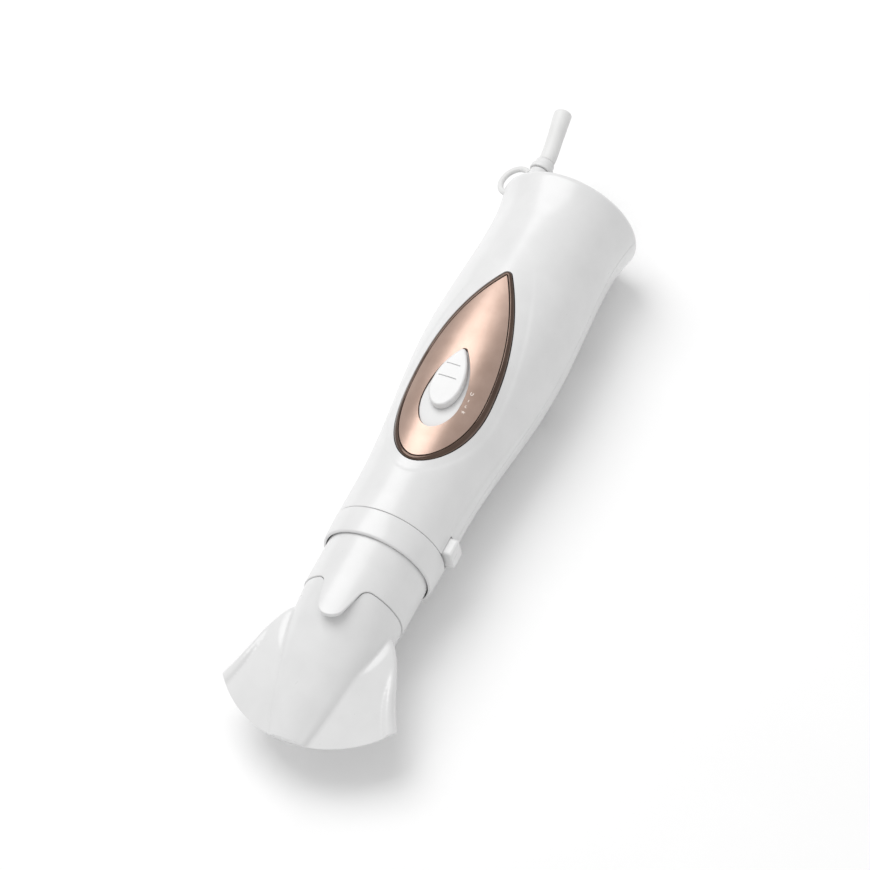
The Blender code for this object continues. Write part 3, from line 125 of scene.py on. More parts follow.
WHITE_GLOSS = finish(
    "gloss_white", (0.74, 0.74, 0.74), (0.775, 0.775, 0.775), 0.3, coat=0.3, grain=420.0, depth=0.006,
    coat_roughness=0.16
)
WHITE_SATIN = finish("satin_white", (0.73, 0.73, 0.73), (0.77, 0.77, 0.77), 0.42, grain=3500.0, depth=0.02)
WHITE_SOFT = finish("soft_white", (0.73, 0.73, 0.725), (0.77, 0.77, 0.765), 0.48, grain=1800.0, depth=0.02)
ROSE_GOLD = finish(
    "rose_gold_lacquer", (0.46, 0.325, 0.265), (0.52, 0.375, 0.31), 0.34, metallic=0.72, coat=0.2,
    cloud=160.0, grain=7000.0, depth=0.012, spread=0.08
)
BRONZE = finish(
    "bronze_gloss", (0.085, 0.05, 0.035), (0.12, 0.075, 0.055), 0.22, metallic=0.7, coat=0.4, grain=5000.0,
    depth=0.008
)
BLACK_PLASTIC = finish("black_moulded", (0.02, 0.02, 0.021), (0.035, 0.035, 0.036), 0.45, depth=0.03)
STEEL = finish(
    "turned_steel", (0.5, 0.5, 0.51), (0.62, 0.62, 0.62), 0.3, metallic=1.0, depth=0.01, spread=0.1,
    stretch=(1.0, 6.0, 6.0)
)
MICA = finish("mica_sheet", (0.42, 0.33, 0.2), (0.6, 0.5, 0.34), 0.35, cloud=350.0, depth=0.03, spread=0.12)
WIRE = finish(
    "oxidised_wire", (0.24, 0.18, 0.15), (0.42, 0.34, 0.28), 0.4, metallic=0.9, cloud=600.0, depth=0.02
)
BOARD = finish("solder_resist", (0.03, 0.15, 0.07), (0.05, 0.21, 0.1), 0.3, cloud=500.0, depth=0.01)
YELLOW = finish("yellow_case", (0.68, 0.53, 0.09), (0.78, 0.62, 0.13), 0.4, depth=0.02)
BROWN = finish("brown_vinyl", (0.16, 0.07, 0.03), (0.22, 0.1, 0.045), 0.45, depth=0.02)
BLUE = finish("blue_vinyl", (0.04, 0.1, 0.38), (0.06, 0.14, 0.48), 0.45, depth=0.02)
MARKS = finish("mark_paint", (0.93, 0.84, 0.76), (0.97, 0.89, 0.82), 0.4, depth=0.01)


# ---------------------------------------------------------------------------------------------
# Mesh helpers
# ---------------------------------------------------------------------------------------------

def solid(name, verts, faces):
    """A mesh object with its faces turned outward."""
    mesh = bpy.data.meshes.new(name)
    mesh.from_pydata([tuple(v) for v in verts], [], faces)
    mesh.update()
    obj = bpy.data.objects.new(name, mesh)
    bpy.context.scene.collection.objects.link(obj)
    face_out(mesh)
    return obj


def face_out(mesh):
    """Turns a closed mesh inside out if its volume is negative."""
    mesh.calc_loop_triangles()
    count = len(mesh.loop_triangles)
    corners = np.empty(count * 3, dtype=np.int32)
    mesh.loop_triangles.foreach_get("vertices", corners)
    points = np.empty(len(mesh.vertices) * 3)
    mesh.vertices.foreach_get("co", points)
    a, b, c = points.reshape(-1, 3)[corners.reshape(-1, 3)].transpose(1, 0, 2)
    if np.einsum("ij,ij->i", a, np.cross(b, c)).sum() < 0:
        mesh.flip_normals()


def bake(obj):
    """Replaces the mesh by what its modifiers make of it."""
    graph = bpy.context.evaluated_depsgraph_get()
    mesh = bpy.data.meshes.new_from_object(obj.evaluated_get(graph))
    old = obj.data
    obj.modifiers.clear()
    obj.data = mesh
    bpy.data.meshes.remove(old)
    return obj


def combine(obj, others, operation):
    """Applies an exact boolean with each of the others, which are removed."""
    for other in others:
        step = obj.modifiers.new("boolean", "BOOLEAN")
        step.object = other
        step.operation = operation
        step.solver = "EXACT"
        bake(obj)
        mesh = other.data
        bpy.data.objects.remove(other)
        bpy.data.meshes.remove(mesh)
    return obj


def cut(obj, *others):
    return combine(obj, others, "DIFFERENCE")


def join(obj, *others):
    return combine(obj, others, "UNION")


def common(obj, *others):
    return combine(obj, others, "INTERSECT")


def wrap(loops, closed_ends=False):
    """Faces between equal loops of points. The loops are closed, and so is their row unless
    closed_ends asks for a face on the first and the last."""
    count = len(loops[0])
    verts = [point for loop in loops for point in loop]
    faces = []
    rows = len(loops) - 1 if closed_ends else len(loops)
    for row in range(rows):
        a, b = row * count, (row + 1) % len(loops) * count
        for i in range(count):
            j = (i + 1) % count
            faces.append((a + i, a + j, b + j, b + i))
    if closed_ends:
        faces.append(tuple(range(count)))
        faces.append(tuple(range(len(verts) - 1, len(verts) - count - 1, -1)))
    return verts, faces


def rounded(corners, steps=5):
    """A closed profile from corners (x, r, fillet)."""
    points = []
    for i, (x, y, fillet) in enumerate(corners):
        here = np.array((x, y))
        before = np.array(corners[i - 1][:2]) - here
        after = np.array(corners[(i + 1) % len(corners)][:2]) - here
        before /= np.linalg.norm(before)
        after /= np.linalg.norm(after)
        angle = math.acos(max(-1.0, min(1.0, float(before @ after))))
        if fillet <= 0 or angle > 3.1:
            points.append(tuple(here))
            continue
        centre = here + (before + after) / np.linalg.norm(before + after) * fillet / math.sin(angle / 2)
        start = here + before * fillet / math.tan(angle / 2) - centre
        end = here + after * fillet / math.tan(angle / 2) - centre
        turn = math.atan2(start[0] * end[1] - start[1] * end[0], float(start @ end))
        for k in range(steps + 1):
            a = turn * k / steps
            c, s = math.cos(a), math.sin(a)
            points.append((centre[0] + start[0] * c - start[1] * s, centre[1] + start[0] * s + start[1] * c))
    return points


def spin(name, profile, segments=128, centre=(0.0, AXIS_Z)):
    """A profile of (x, r) turned about an axis along X. A profile that is off the axis is closed."""
    on_axis = profile[0][1] == 0.0 and profile[-1][1] == 0.0
    ring = profile[1:-1] if on_axis else profile
    loops = []
    for i in range(segments):
        angle = TAU * i / segments
        s, c = math.sin(angle), math.cos(angle)
        loops.append([(x, centre[0] + r * s, centre[1] + r * c) for x, r in ring])
    if not on_axis:
        verts, faces = wrap(loops)
        return solid(name, verts, faces)
    verts = [point for loop in loops for point in loop]
    count = len(ring)
    first, last = len(verts), len(verts) + 1
    verts += [(profile[0][0], *centre), (profile[-1][0], *centre)]
    faces = []
    for i in range(segments):
        a, b = i * count, (i + 1) % segments * count
        for k in range(count - 1):
            faces.append((a + k, a + k + 1, b + k + 1, b + k))
        faces.append((first, a, b))
        faces.append((last, b + count - 1, a + count - 1))
    return solid(name, verts, faces)


def block(name, low, high, matrix=Matrix()):
    spans = list(zip(low, high))
    verts = [matrix @ Vector((x, y, z)) for x in spans[0] for y in spans[1] for z in spans[2]]
    faces = [(0, 1, 3, 2), (4, 6, 7, 5), (0, 4, 5, 1), (2, 3, 7, 6), (0, 2, 6, 4), (1, 5, 7, 3)]
    return solid(name, verts, faces)


def prism(name, outline, low, high, matrix=Matrix()):
    loops = [[matrix @ Vector((x, y, z)) for x, y in outline] for z in (low, high)]
    verts, faces = wrap(loops, True)
    return solid(name, verts, faces)


def pillar(name, centre, low, high, radius, segments=40, matrix=Matrix()):
    outline = [
        (centre[0] + radius * math.cos(TAU * i / segments), centre[1] + radius * math.sin(TAU * i / segments))
        for i in range(segments)
    ]
    return prism(name, outline, low, high, matrix)


def tube(name, points, radii, sides):
    """A round tube with flat ends along a smooth path, with a radius for each point."""
    points = [Vector(p) for p in points]
    loops = []
    across = None
    for i, point in enumerate(points):
        ahead = (points[min(i + 1, len(points) - 1)] - points[max(i - 1, 0)]).normalized()
        if across is None:
            across = ahead.orthogonal().normalized()
        across = (across - ahead * across.dot(ahead)).normalized()
        over = ahead.cross(across)
        loops.append([
            point + (across * math.cos(TAU * k / sides) + over * math.sin(TAU * k / sides)) * radii[i]
            for k in range(sides)
        ])
    verts, faces = wrap(loops, True)
    return solid(name, verts, faces)


def show(obj, body, material, replaced=(), crease=32.0):
    """Shades a piece smooth between its creases, gives it a finish, and lets it ride on its body."""
    mesh = obj.data
    face_out(mesh)
    mesh.materials.clear()
    mesh.materials.append(material)
    mesh.polygons.foreach_set("use_smooth", [True] * len(mesh.polygons))
    mesh.set_sharp_from_angle(angle=math.radians(crease))
    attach(obj, body)
    if replaced:
        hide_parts(*replaced)
    return obj


# ---------------------------------------------------------------------------------------------
# Lines shared with the frame
# ---------------------------------------------------------------------------------------------

def ease(share):
    return (1 - math.cos(math.pi * share)) / 2


def step(low, high, value):
    """0 below low and 1 above high, smooth between."""
    share = np.clip((value - low) / (high - low), 0.0, 1.0)
    return share * share * (3 - 2 * share)


def casing_radius(x):
    rim_x = REAR_X + RIM_ROUND
    if x < WAIST_X:
        share = (WAIST_X - max(x, rim_x)) / (WAIST_X - rim_x)
        return WAIST_RADIUS + (RIM_RADIUS - WAIST_RADIUS) * share * share
    if x < 0:
        return WAIST_RADIUS + (BELLY_RADIUS - WAIST_RADIUS) * ease((x - WAIST_X) / -WAIST_X)
    if x < NECK_X:
        return BELLY_RADIUS + (NECK_RADIUS - BELLY_RADIUS) * ease(x / NECK_X)
    return NECK_RADIUS


def stations(start, end, count):
    return [start + (end - start) * i / count for i in range(count + 1)]


def teardrop(point_x, wide_x, round_x, half_width, grow=0.0, rear_count=44, front_count=36):
    """An outline pointed at point_x and round at round_x, grown by a distance."""
    half = []
    for share in stations(0.0, 1.0, rear_count):
        half.append((point_x + (wide_x - point_x) * share, half_width * (1 - (1 - share) ** 2.2)))
    for angle in stations(0.0, math.pi / 2, front_count)[1:]:
        half.append((wide_x + (round_x - wide_x) * math.sin(angle), half_width * math.cos(angle) ** 1.1))
    grown = []
    first = math.atan2(half[1][0] - half[0][0], -(half[1][1] - half[0][1]))
    for angle in stations(math.pi, first, 10):
        grown.append((half[0][0] + grow * math.cos(angle), grow * math.sin(angle)))
    for before, here, after in zip(half, half[1:], half[2:]):
        along = Vector((after[0] - before[0], after[1] - before[1])).normalized()
        grown.append((here[0] - along.y * grow, here[1] + along.x * grow))
    grown.append((half[-1][0] + grow, 0.0))
    return grown + [(x, -y) for x, y in reversed(grown[1:-1])]


def collar_edge(angle, gap=0.0):
    """The collar's edge: one round tongue with slightly converging sides, and round corners at its root.
    The gap moves the edge outward at a right angle to itself."""
    tip, corner, taper = 6.0 * MM, 4.6 * MM, math.radians(15.0)
    across = COLLAR_RADIUS * abs(angle)
    tip_x = TONGUE_LENGTH - tip
    first = (tip * math.cos(taper), tip_x + tip * math.sin(taper))
    root = first[0] + (first[1] - corner * (1 - math.sin(taper))) * math.tan(taper) + corner * math.cos(taper)
    far = (root - (corner - gap) * math.cos(taper), corner - (corner - gap) * math.sin(taper))
    near = ((tip + gap) * math.cos(taper), tip_x + (tip + gap) * math.sin(taper))
    if across < near[0]:
        rise = tip_x + math.sqrt((tip + gap) ** 2 - across ** 2)
    elif across < far[0]:
        rise = near[1] - (across - near[0]) * (near[1] - far[1]) / (far[0] - near[0])
    elif across < root:
        rise = corner - math.sqrt((corner - gap) ** 2 - (root - across) ** 2)
    else:
        rise = gap
    return COLLAR_EDGE_X + rise


def wave_sleeve(name, rear_x, inner, outer, gap, count=480):
    loops = []
    for i in range(count):
        angle = TAU * i / count - math.pi
        front_x = collar_edge(angle, gap)
        section = ((rear_x, inner), (rear_x, outer), (front_x, outer), (front_x, inner))
        loops.append([(x, r * math.sin(angle), AXIS_Z + r * math.cos(angle)) for x, r in section])
    verts, faces = wrap(loops)
    return solid(name, verts, faces)


def fan_height(distance):
    return -FAN_DROP + FAN_SLOPE * (FAN_RADIUS - max(distance, FAN_FLOOR))


SWITCH_FRAME = (
    Matrix.Translation((MIDDLE_X, 0.0, AXIS_Z + casing_radius(MIDDLE_X)))
    @ Matrix.Rotation(SLOPE, 4, "Y")
    @ Matrix.Translation((-MIDDLE_X, 0.0, 0.0))
)


def bezel_outline(grow):
    return teardrop(-20.0 * MM, 36.0 * MM, 69.0 * MM, 16.1 * MM, grow)


def recess_outline(grow):
    corner = 1.5 * MM
    point_x, round_x = 18.2 * MM + corner, 55.6 * MM - corner
    return teardrop(point_x, 41.0 * MM, round_x, 8.6 * MM - corner, corner + grow, 24, 20)


def knob_outline(grow):
    corner = 1.4 * MM
    point_x, round_x = 19.4 * MM + corner, 46.4 * MM - corner
    return teardrop(point_x, 36.5 * MM, round_x, 6.4 * MM - corner, corner + grow, 30, 24)


# ---------------------------------------------------------------------------------------------
# Casing
# ---------------------------------------------------------------------------------------------

DISH = np.array(teardrop(-45.0 * MM, 36.0 * MM, 76.8 * MM, 22.3 * MM, 0.0, 60, 50))
DISH_DEPTH = 0.3 * MM
SPINE_HEIGHT = 0.5 * MM


def inside_distance(x, y):
    """Distance from the dish's outline in plan, positive inside it."""
    point = np.stack((x, y), axis=-1)[:, None, :]
    a, b = DISH[None], np.roll(DISH, -1, axis=0)[None]
    span = b - a
    share = np.clip(((point - a) * span).sum(-1) / np.maximum((span ** 2).sum(-1), 1e-12), 0.0, 1.0)
    near = np.sqrt((((a + span * share[..., None]) - point) ** 2).sum(-1)).min(1)
    rise = np.where(span[..., 1] == 0, 1e-12, span[..., 1])
    crosses = ((a[..., 1] > point[..., 1]) != (b[..., 1] > point[..., 1])) & (
        point[..., 0] < a[..., 0] + (point[..., 1] - a[..., 1]) * span[..., 0] / rise
    )
    inside = crosses.sum(1) % 2 == 1
    return np.where(inside, near, -near)


def relief(x, angle):
    """How far the casing's surface stands over its plain radius: a shallow dish about the panel, and a
    raised spine that runs back from the release button."""
    radius = np.array([casing_radius(v) for v in x])
    y = radius * np.sin(angle)
    up = np.cos(angle)
    depth = np.zeros(len(x))
    near = up > 0.2
    depth[near] = step(-0.2 * MM, 1.3 * MM, inside_distance(x[near], y[near]))
    dish = -DISH_DEPTH * depth * step(-40 * MM, 5 * MM, x)
    over = radius * np.abs(np.where(np.sin(angle) > 0, angle - math.pi / 2, 9.0))
    half = 1.5 * MM + 4.0 * MM * np.clip(x / (88 * MM), 0.0, 1.0)
    tall = SPINE_HEIGHT * step(-12 * MM, 60 * MM, x)
    spine = tall * (1 - step(half - 0.7 * MM, half + 0.7 * MM, over))
    return dish + spine


def casing_half(name, angles, low_z, high_z, count):
    """Half of the casing between two heights, as a swept profile with the lip at the rear."""
    rounding = [
        (REAR_X + RIM_ROUND + RIM_ROUND * math.cos(a), RIM_RADIUS - RIM_ROUND + RIM_ROUND * math.sin(a))
        for a in stations(math.pi, math.pi / 2, 10)
    ]
    along = stations(REAR_X + RIM_ROUND, FRONT_X - 0.35 * MM, count)[1:]
    outer = rounding + [(x, casing_radius(x)) for x in along]
    outer += [(FRONT_X - 0.1 * MM, NECK_RADIUS - 0.1 * MM), (FRONT_X, NECK_RADIUS - 0.35 * MM)]
    lip_x = REAR_X + REAR_LIP
    inner = [(FRONT_X, CAVITY_RADIUS)]
    inner += [(x, casing_radius(x) - WALL) for x in stations(NECK_X, lip_x + 0.1 * MM, 36)]
    inner += [
        (lip_x, REAR_OPENING_RADIUS), (REAR_X + 0.4 * MM, REAR_OPENING_RADIUS),
        (REAR_X, REAR_OPENING_RADIUS + 0.4 * MM),
    ]
    xs = np.array([p[0] for p in outer])
    loops = []
    for angle in angles:
        rise = relief(xs, np.full(len(xs), angle))
        s, c = math.sin(angle), math.cos(angle)
        loop = []
        for (x, r), h in zip(outer, rise):
            loop.append((x, (r + h) * s, min(max(AXIS_Z + (r + h) * c, low_z), high_z)))
        for x, r in inner:
            loop.append((x, r * s, min(max(AXIS_Z + r * c, low_z), high_z)))
        loops.append(loop)
    verts, faces = wrap(loops, True)
    return solid(name, verts, faces)


def button_slot(name):
    side = BUTTON_HALF_WIDTH + GAP
    low = (BUTTON_REAR_X - GAP, 15 * MM, AXIS_Z - side)
    high = (SEAM_X + 3 * MM, 32 * MM, AXIS_Z + side)
    return block(name, low, high)


quarter = math.pi / 2
upper = casing_half("casing_top", stations(-quarter, quarter, 150), AXIS_Z + HALF_SEAM, 1.0, 230)
cut(
    upper, prism("opening", bezel_outline(2.4 * MM), AXIS_Z + NECK_RADIUS / 2, AXIS_Z + 60 * MM),
    button_slot("slot_top"),
)
show(upper, "casing", WHITE_GLOSS, ["upper_shell"])
turns = stations(quarter, quarter + 0.5, 24) + stations(quarter + 0.5, 3 * quarter, 60)[1:]
lower = casing_half("casing_belly", turns, 0.0, AXIS_Z - HALF_SEAM, 150)
cut(lower, button_slot("slot_belly"))
for index, (x, y) in enumerate(SCREW_PLACES):
    place = (x * MM, y * MM)
    cut(lower, pillar(f"hole_{index}", place, -5 * MM, AXIS_Z - 13.5 * MM, SCREW_HOLE_RADIUS))
show(lower, "casing", WHITE_GLOSS, ["lower_shell"])

# Rear cap: a dome with slots, held behind the lip, and the socket for the cord swivel.
edge = REAR_OPENING_RADIUS - GAP
dome = [(REAR_X - 4 * MM * math.cos(a), edge * math.sin(a)) for a in stations(0.0, quarter, 20)]
inside = [(x + CAP_WALL, r * (edge - CAP_WALL) / edge) for x, r in reversed(dome)]
lip_x = REAR_X + REAR_LIP + GAP
flange = [
    (lip_x, edge), (lip_x, CAP_FLANGE_RADIUS), (lip_x + CAP_FLANGE, CAP_FLANGE_RADIUS),
    (lip_x + CAP_FLANGE, edge - CAP_WALL),
]
cap = spin("inlet_cap", dome + flange + inside, 120)
for index in range(INLET_COUNT):
    y = (index - 1) * INLET_PITCH
    half = math.sqrt(INLET_FIELD_RADIUS ** 2 - y * y)
    outline = []
    for side in (1, -1):
        for a in stations(0.0, math.pi, 8):
            end = half - INLET_HALF_WIDTH + INLET_HALF_WIDTH * math.sin(a)
            outline.append((-side * (AXIS_Z * side + end), y + side * INLET_HALF_WIDTH * math.cos(a)))
    across = Matrix.Rotation(quarter, 4, "Y")
    cut(cap, prism(f"inlet_{index}", outline, REAR_X - 9 * MM, REAR_X + 8 * MM, across))
socket = [(-82.5, 0.0, 0), (-82.5, 4.2, 0.4), (-74.4, 4.2, 0), (-74.4, 0.0, 0)]
profile = rounded([(x * MM, r * MM, f * MM) for x, r, f in socket], 4)
join(cap, spin("socket", profile, 64, (CORD_Y, CORD_Z)))
bore = [(-85 * MM, 0.0), (-85 * MM, 3.3 * MM), (-76 * MM, 3.3 * MM), (-76 * MM, 0.0)]
cut(cap, spin("socket_bore", bore, 48, (CORD_Y, CORD_Z)))
show(cap, "casing", WHITE_SATIN, ["rear_cap"])

# Outlet ring.
corners = [
    (92.4, 19.9, 0.2), (92.4, 21.3, 0.2), (97.4, 21.3, 0), (97.4, 24.0, 0.35), (109.2, 23.5, 0.95),
    (109.2, 22.3, 0.15), (99.9, 22.3, 0.3), (99.9, 19.9, 0.2),
]
ring = spin("outlet_ring", rounded([(x * MM, r * MM, f * MM) for x, r, f in corners], 8), 160)
cut(
    ring,
    block(
        "ring_slot", (0.0, 0.0, AXIS_Z - RING_SLOT_HALF_WIDTH),
        (SEAM_X, BUTTON_TOP, AXIS_Z + RING_SLOT_HALF_WIDTH),
    ),
    block(
        "ring_pass", (0.0, 0.0, AXIS_Z - LATCH_PASS_HALF_WIDTH),
        (102 * MM, 20.1 * MM, AXIS_Z + LATCH_PASS_HALF_WIDTH),
    ),
)
show(ring, "casing", WHITE_GLOSS, ["front_ring"])


# ---------------------------------------------------------------------------------------------
# Panel and switch
# ---------------------------------------------------------------------------------------------

def on_casing(x, y, proud):
    return (x, y, AXIS_Z + math.sqrt(max((casing_radius(x) + proud) ** 2 - y * y, 1e-9)))


def skin(name, proud, thickness):
    loops = []
    for x in stations(-24 * MM, 73 * MM, 110):
        out, back = [], []
        for a in stations(-0.85, 0.85, 76):
            s, c = math.sin(a), math.cos(a)
            outer = casing_radius(x) + proud
            out.append((x, outer * s, AXIS_Z + outer * c))
            back.append((x, (outer - thickness) * s, AXIS_Z + (outer - thickness) * c))
        loops.append(out + back[::-1])
    verts, faces = wrap(loops, True)
    return solid(name, verts, faces)


panel = skin("gold_panel", PANEL_PROUD, PANEL_THICKNESS)
common(panel, prism("panel_outline", bezel_outline(0.0), AXIS_Z + 12 * MM, AXIS_Z + 60 * MM))
cut(panel, prism("recess", recess_outline(0.0), -6 * MM, 6 * MM, SWITCH_FRAME))
show(panel, "casing", ROSE_GOLD, ["switch_panel"])

section = (
    (0.3, -2.2), (0.3, 0.02), (0.38, 0.2), (0.55, 0.33), (0.8, 0.4), (1.15, 0.4), (1.5, 0.36), (1.8, 0.22),
    (2.0, 0.02), (2.1, -0.25), (2.1, -2.2),
)
outlines = [bezel_outline(grow * MM) for grow, _ in section]
loops = []
for outline, (_, proud) in zip(outlines, section):
    loops.append([on_casing(x, y, proud * MM) for x, y in outline])
verts, faces = wrap(loops)
show(solid("bronze_bezel", verts, faces), "casing", BRONZE, ["panel_bezel"])


def make_knob():
    """Slide knob: rounded tear-drop with two grip grooves, and the stem under it."""
    top = 2.3 * MM
    crown = 0.25 * MM
    round_off = 0.85 * MM
    loops = [[Vector((x, y, -1.5 * MM)) for x, y in knob_outline(0.0)]]
    for a in stations(0.0, quarter, 7):
        height = top - crown - round_off * (1 - math.sin(a))
        loops.append([Vector((x, y, height)) for x, y in knob_outline(-round_off * (1 - math.cos(a)))])
    core = knob_outline(-round_off)
    for share in (0.85, 0.65, 0.42, 0.2):
        height = top - crown * share * share
        loops.append([
            Vector((34 * MM + (x - 34 * MM) * share, y * share, height)) for x, y in core
        ])
    loops = [[SWITCH_FRAME @ p for p in loop] for loop in loops]
    verts, faces = wrap(loops, True)
    knob = solid("slide_knob", verts, faces)
    for x, low, high in ((27.5, -3.4, 2.0), (33.5, -4.3, 2.9)):
        outline = []
        for side in (1, -1):
            for a in stations(0.0, math.pi, 10):
                end = high if side > 0 else low
                outline.append(((x + side * 0.3 * math.cos(a)) * MM, (end + side * 0.3 * math.sin(a)) * MM))
        cut(knob, prism("groove", outline, 1.75 * MM, 5 * MM, SWITCH_FRAME))
    low, high = (29.9 * MM, -1.3 * MM, -10.6 * MM), (35.3 * MM, 1.3 * MM, -1.2 * MM)
    join(knob, block("stem", low, high, SWITCH_FRAME))
    show(knob, "switch", WHITE_GLOSS, ["switch_knob"], 40.0)


def make_marks():
    """Small numbers for the heat steps, and a crossed-lines mark for the cool step."""
    def frame_at(x, y):
        radius = casing_radius(x) + PANEL_PROUD
        place = Vector(on_casing(x, y, PANEL_PROUD))
        out = Vector((0.0, y / radius, (place.z - AXIS_Z) / radius))
        forward = Vector((1.0, 0.0, 0.0))
        right = forward.cross(out)
        return Matrix.Translation(place) @ Matrix((right, forward, out)).transposed().to_4x4()

    for index, (text, x, size) in enumerate((("0", 35.2, 2.9), ("1", 38.5, 2.4), ("2", 41.1, 2.4))):
        curve = bpy.data.curves.new(f"mark_{index}", "FONT")
        curve.body = text
        curve.size = size * MM
        curve.extrude = 0.03 * MM
        curve.align_x = "CENTER"
        curve.align_y = "CENTER"
        label = bpy.data.objects.new(f"mark_{index}", curve)
        bpy.context.scene.collection.objects.link(label)
        graph = bpy.context.evaluated_depsgraph_get()
        mesh = bpy.data.meshes.new_from_object(label.evaluated_get(graph))
        mesh.transform(frame_at(x * MM, MARK_Y))
        bpy.data.objects.remove(label)
        mark = bpy.data.objects.new(f"step_mark_{index}", mesh)
        bpy.context.scene.collection.objects.link(mark)
        show(mark, "casing", MARKS)
    verts, faces = [], []
    star = frame_at(43.9 * MM, MARK_Y)
    for k in range(3):
        turn = star @ Matrix.Rotation(math.pi * k / 3, 4, "Z")
        lift = 0.004 * MM * k
        corners = [
            (sx * 0.9 * MM, sy * 0.1 * MM, z)
            for z in (-0.03 * MM, 0.03 * MM + lift) for sx, sy in ((-1, -1), (1, -1), (1, 1), (-1, 1))
        ]
        base = len(verts)
        verts += [turn @ Vector(c) for c in corners]
        for face in ((3, 2, 1, 0), (4, 5, 6, 7), (0, 1, 5, 4), (1, 2, 6, 5), (2, 3, 7, 6), (3, 0, 4, 7)):
            faces.append(tuple(base + i for i in face))
    show(solid("step_mark_cool", verts, faces), "casing", MARKS)


make_knob()
make_marks()


# ---------------------------------------------------------------------------------------------
# Nozzle
# ---------------------------------------------------------------------------------------------

def make_collar():
    """Round end of the nozzle. Its front edge follows the tongue, and is rounded at a right angle to it."""
    count = 480
    angles = [TAU * i / count - math.pi for i in range(count)]
    edge_points = [(collar_edge(a), COLLAR_RADIUS * a) for a in angles]
    normals = []
    for i in range(count):
        before, after = edge_points[i - 1], edge_points[(i + 1) % count]
        along_x = after[0] - before[0]
        along_y = (after[1] - before[1]) % (TAU * COLLAR_RADIUS)
        size = math.hypot(along_x, along_y)
        normals.append((-along_y / size, along_x / size))
    rear = COLLAR_REAR_X
    rounding = 0.45 * MM
    profile = [("rear", rear + 0.3 * MM, COLLAR_INNER), ("rear", rear, COLLAR_INNER + 0.3 * MM)]
    profile += [("rear", rear, COLLAR_RADIUS - 0.5 * MM), ("rear", rear + 0.5 * MM, COLLAR_RADIUS)]
    profile += [("rear", x * MM, COLLAR_RADIUS) for x in (106.0, 112.0, 118.0, 123.0)]
    profile += [("edge", 1.6 * MM, COLLAR_RADIUS), ("edge", 1.0 * MM, COLLAR_RADIUS)]
    for a in stations(0.0, quarter, 6):
        radius = COLLAR_RADIUS - rounding * (1 - math.cos(a))
        profile.append(("edge", rounding * (1 - math.sin(a)), radius))
    profile.append(("edge", 0.0, COLLAR_INNER))
    profile += [("rear", x * MM, COLLAR_INNER) for x in (123, 112)]
    loops = []
    for angle, (x0, y0), (nx, ny) in zip(angles, edge_points, normals):
        loop = []
        for kind, value, radius in profile:
            if kind == "rear":
                x, turn = value, angle
            else:
                x, turn = x0 + nx * value, (y0 + ny * value) / COLLAR_RADIUS
            loop.append((x, radius * math.sin(turn), AXIS_Z + radius * math.cos(turn)))
        loops.append(loop)
    verts, faces = wrap(loops)
    collar = solid("nozzle_collar_piece", verts, faces)
    low = (98 * MM, 0.0, AXIS_Z - LATCH_SLOT_HALF_WIDTH)
    high = (106.1 * MM, 24 * MM, AXIS_Z + LATCH_SLOT_HALF_WIDTH)
    cut(collar, block("latch_slot", low, high))
    show(collar, "nozzle", WHITE_GLOSS, ["nozzle_collar"])


def lobe(name, inset, rear_x, beyond):
    """The round duct that narrows to a lobe in the middle of the outlet."""
    end_x = FAN_CENTRE_X + FAN_RADIUS + MM
    outlet_top = -FAN_DROP + WING_THICKNESS / 2 + LOBE_PROUD
    outlet_bottom = -FAN_DROP - WING_THICKNESS / 2 - GAP

    def oval(x, half_width, top, bottom):
        middle, height = (top + bottom) / 2, (top - bottom) / 2
        return [
            (x, half_width * math.sin(TAU * i / 112), AXIS_Z + middle + height * math.cos(TAU * i / 112))
            for i in range(112)
        ]

    plain = DUCT_RADIUS - inset
    loops = [oval(x, plain, plain, -plain) for x in stations(rear_x, COLLAR_EDGE_X, 8)[:-1]]
    for share in stations(0.0, 1.0, 44):
        x = COLLAR_EDGE_X + (end_x - COLLAR_EDGE_X) * share
        half_width = DUCT_RADIUS - (DUCT_RADIUS - LOBE_TIP_HALF_WIDTH) * share ** 2.1
        top = DUCT_RADIUS + (outlet_top - DUCT_RADIUS) * share ** 1.15
        bottom = -DUCT_RADIUS + (outlet_bottom + DUCT_RADIUS) * share ** 1.15
        tip = inset + (min(inset, WING_THICKNESS / 4) - inset) * share
        over = 0.0
        if inset:
            over = inset + (LOBE_PROUD + (WING_THICKNESS - SLOT_HEIGHT) / 2 + 0.1 * MM - inset) * share
        loops.append(oval(x, half_width - tip, top - over, bottom + tip))
    loops.append([(x + beyond, y, z - beyond * 0.3) for x, y, z in loops[-1]])
    verts, faces = wrap(loops, True)
    return solid(name, verts, faces)


def wing_half_angle(distance, inset):
    """The angle from the middle line to a wing's edge, at a distance from the fan's centre."""
    tip_angle = math.asin(OUTLET_HALF_WIDTH / FAN_RADIUS)
    tip = Vector((FAN_RADIUS * math.cos(tip_angle), FAN_RADIUS * math.sin(tip_angle)))
    root = Vector((-3.0 * MM, DUCT_RADIUS - 3.0 * MM))
    share = (distance - DUCT_RADIUS) / (FAN_RADIUS - DUCT_RADIUS)
    line = root.lerp(tip, max(share, 0.0)) - Vector((0.0, inset))
    bow = 1.7 * MM * math.sin(math.pi * min(max(share, 0.0), 1.0))
    return math.atan2(line.y - bow, line.x)


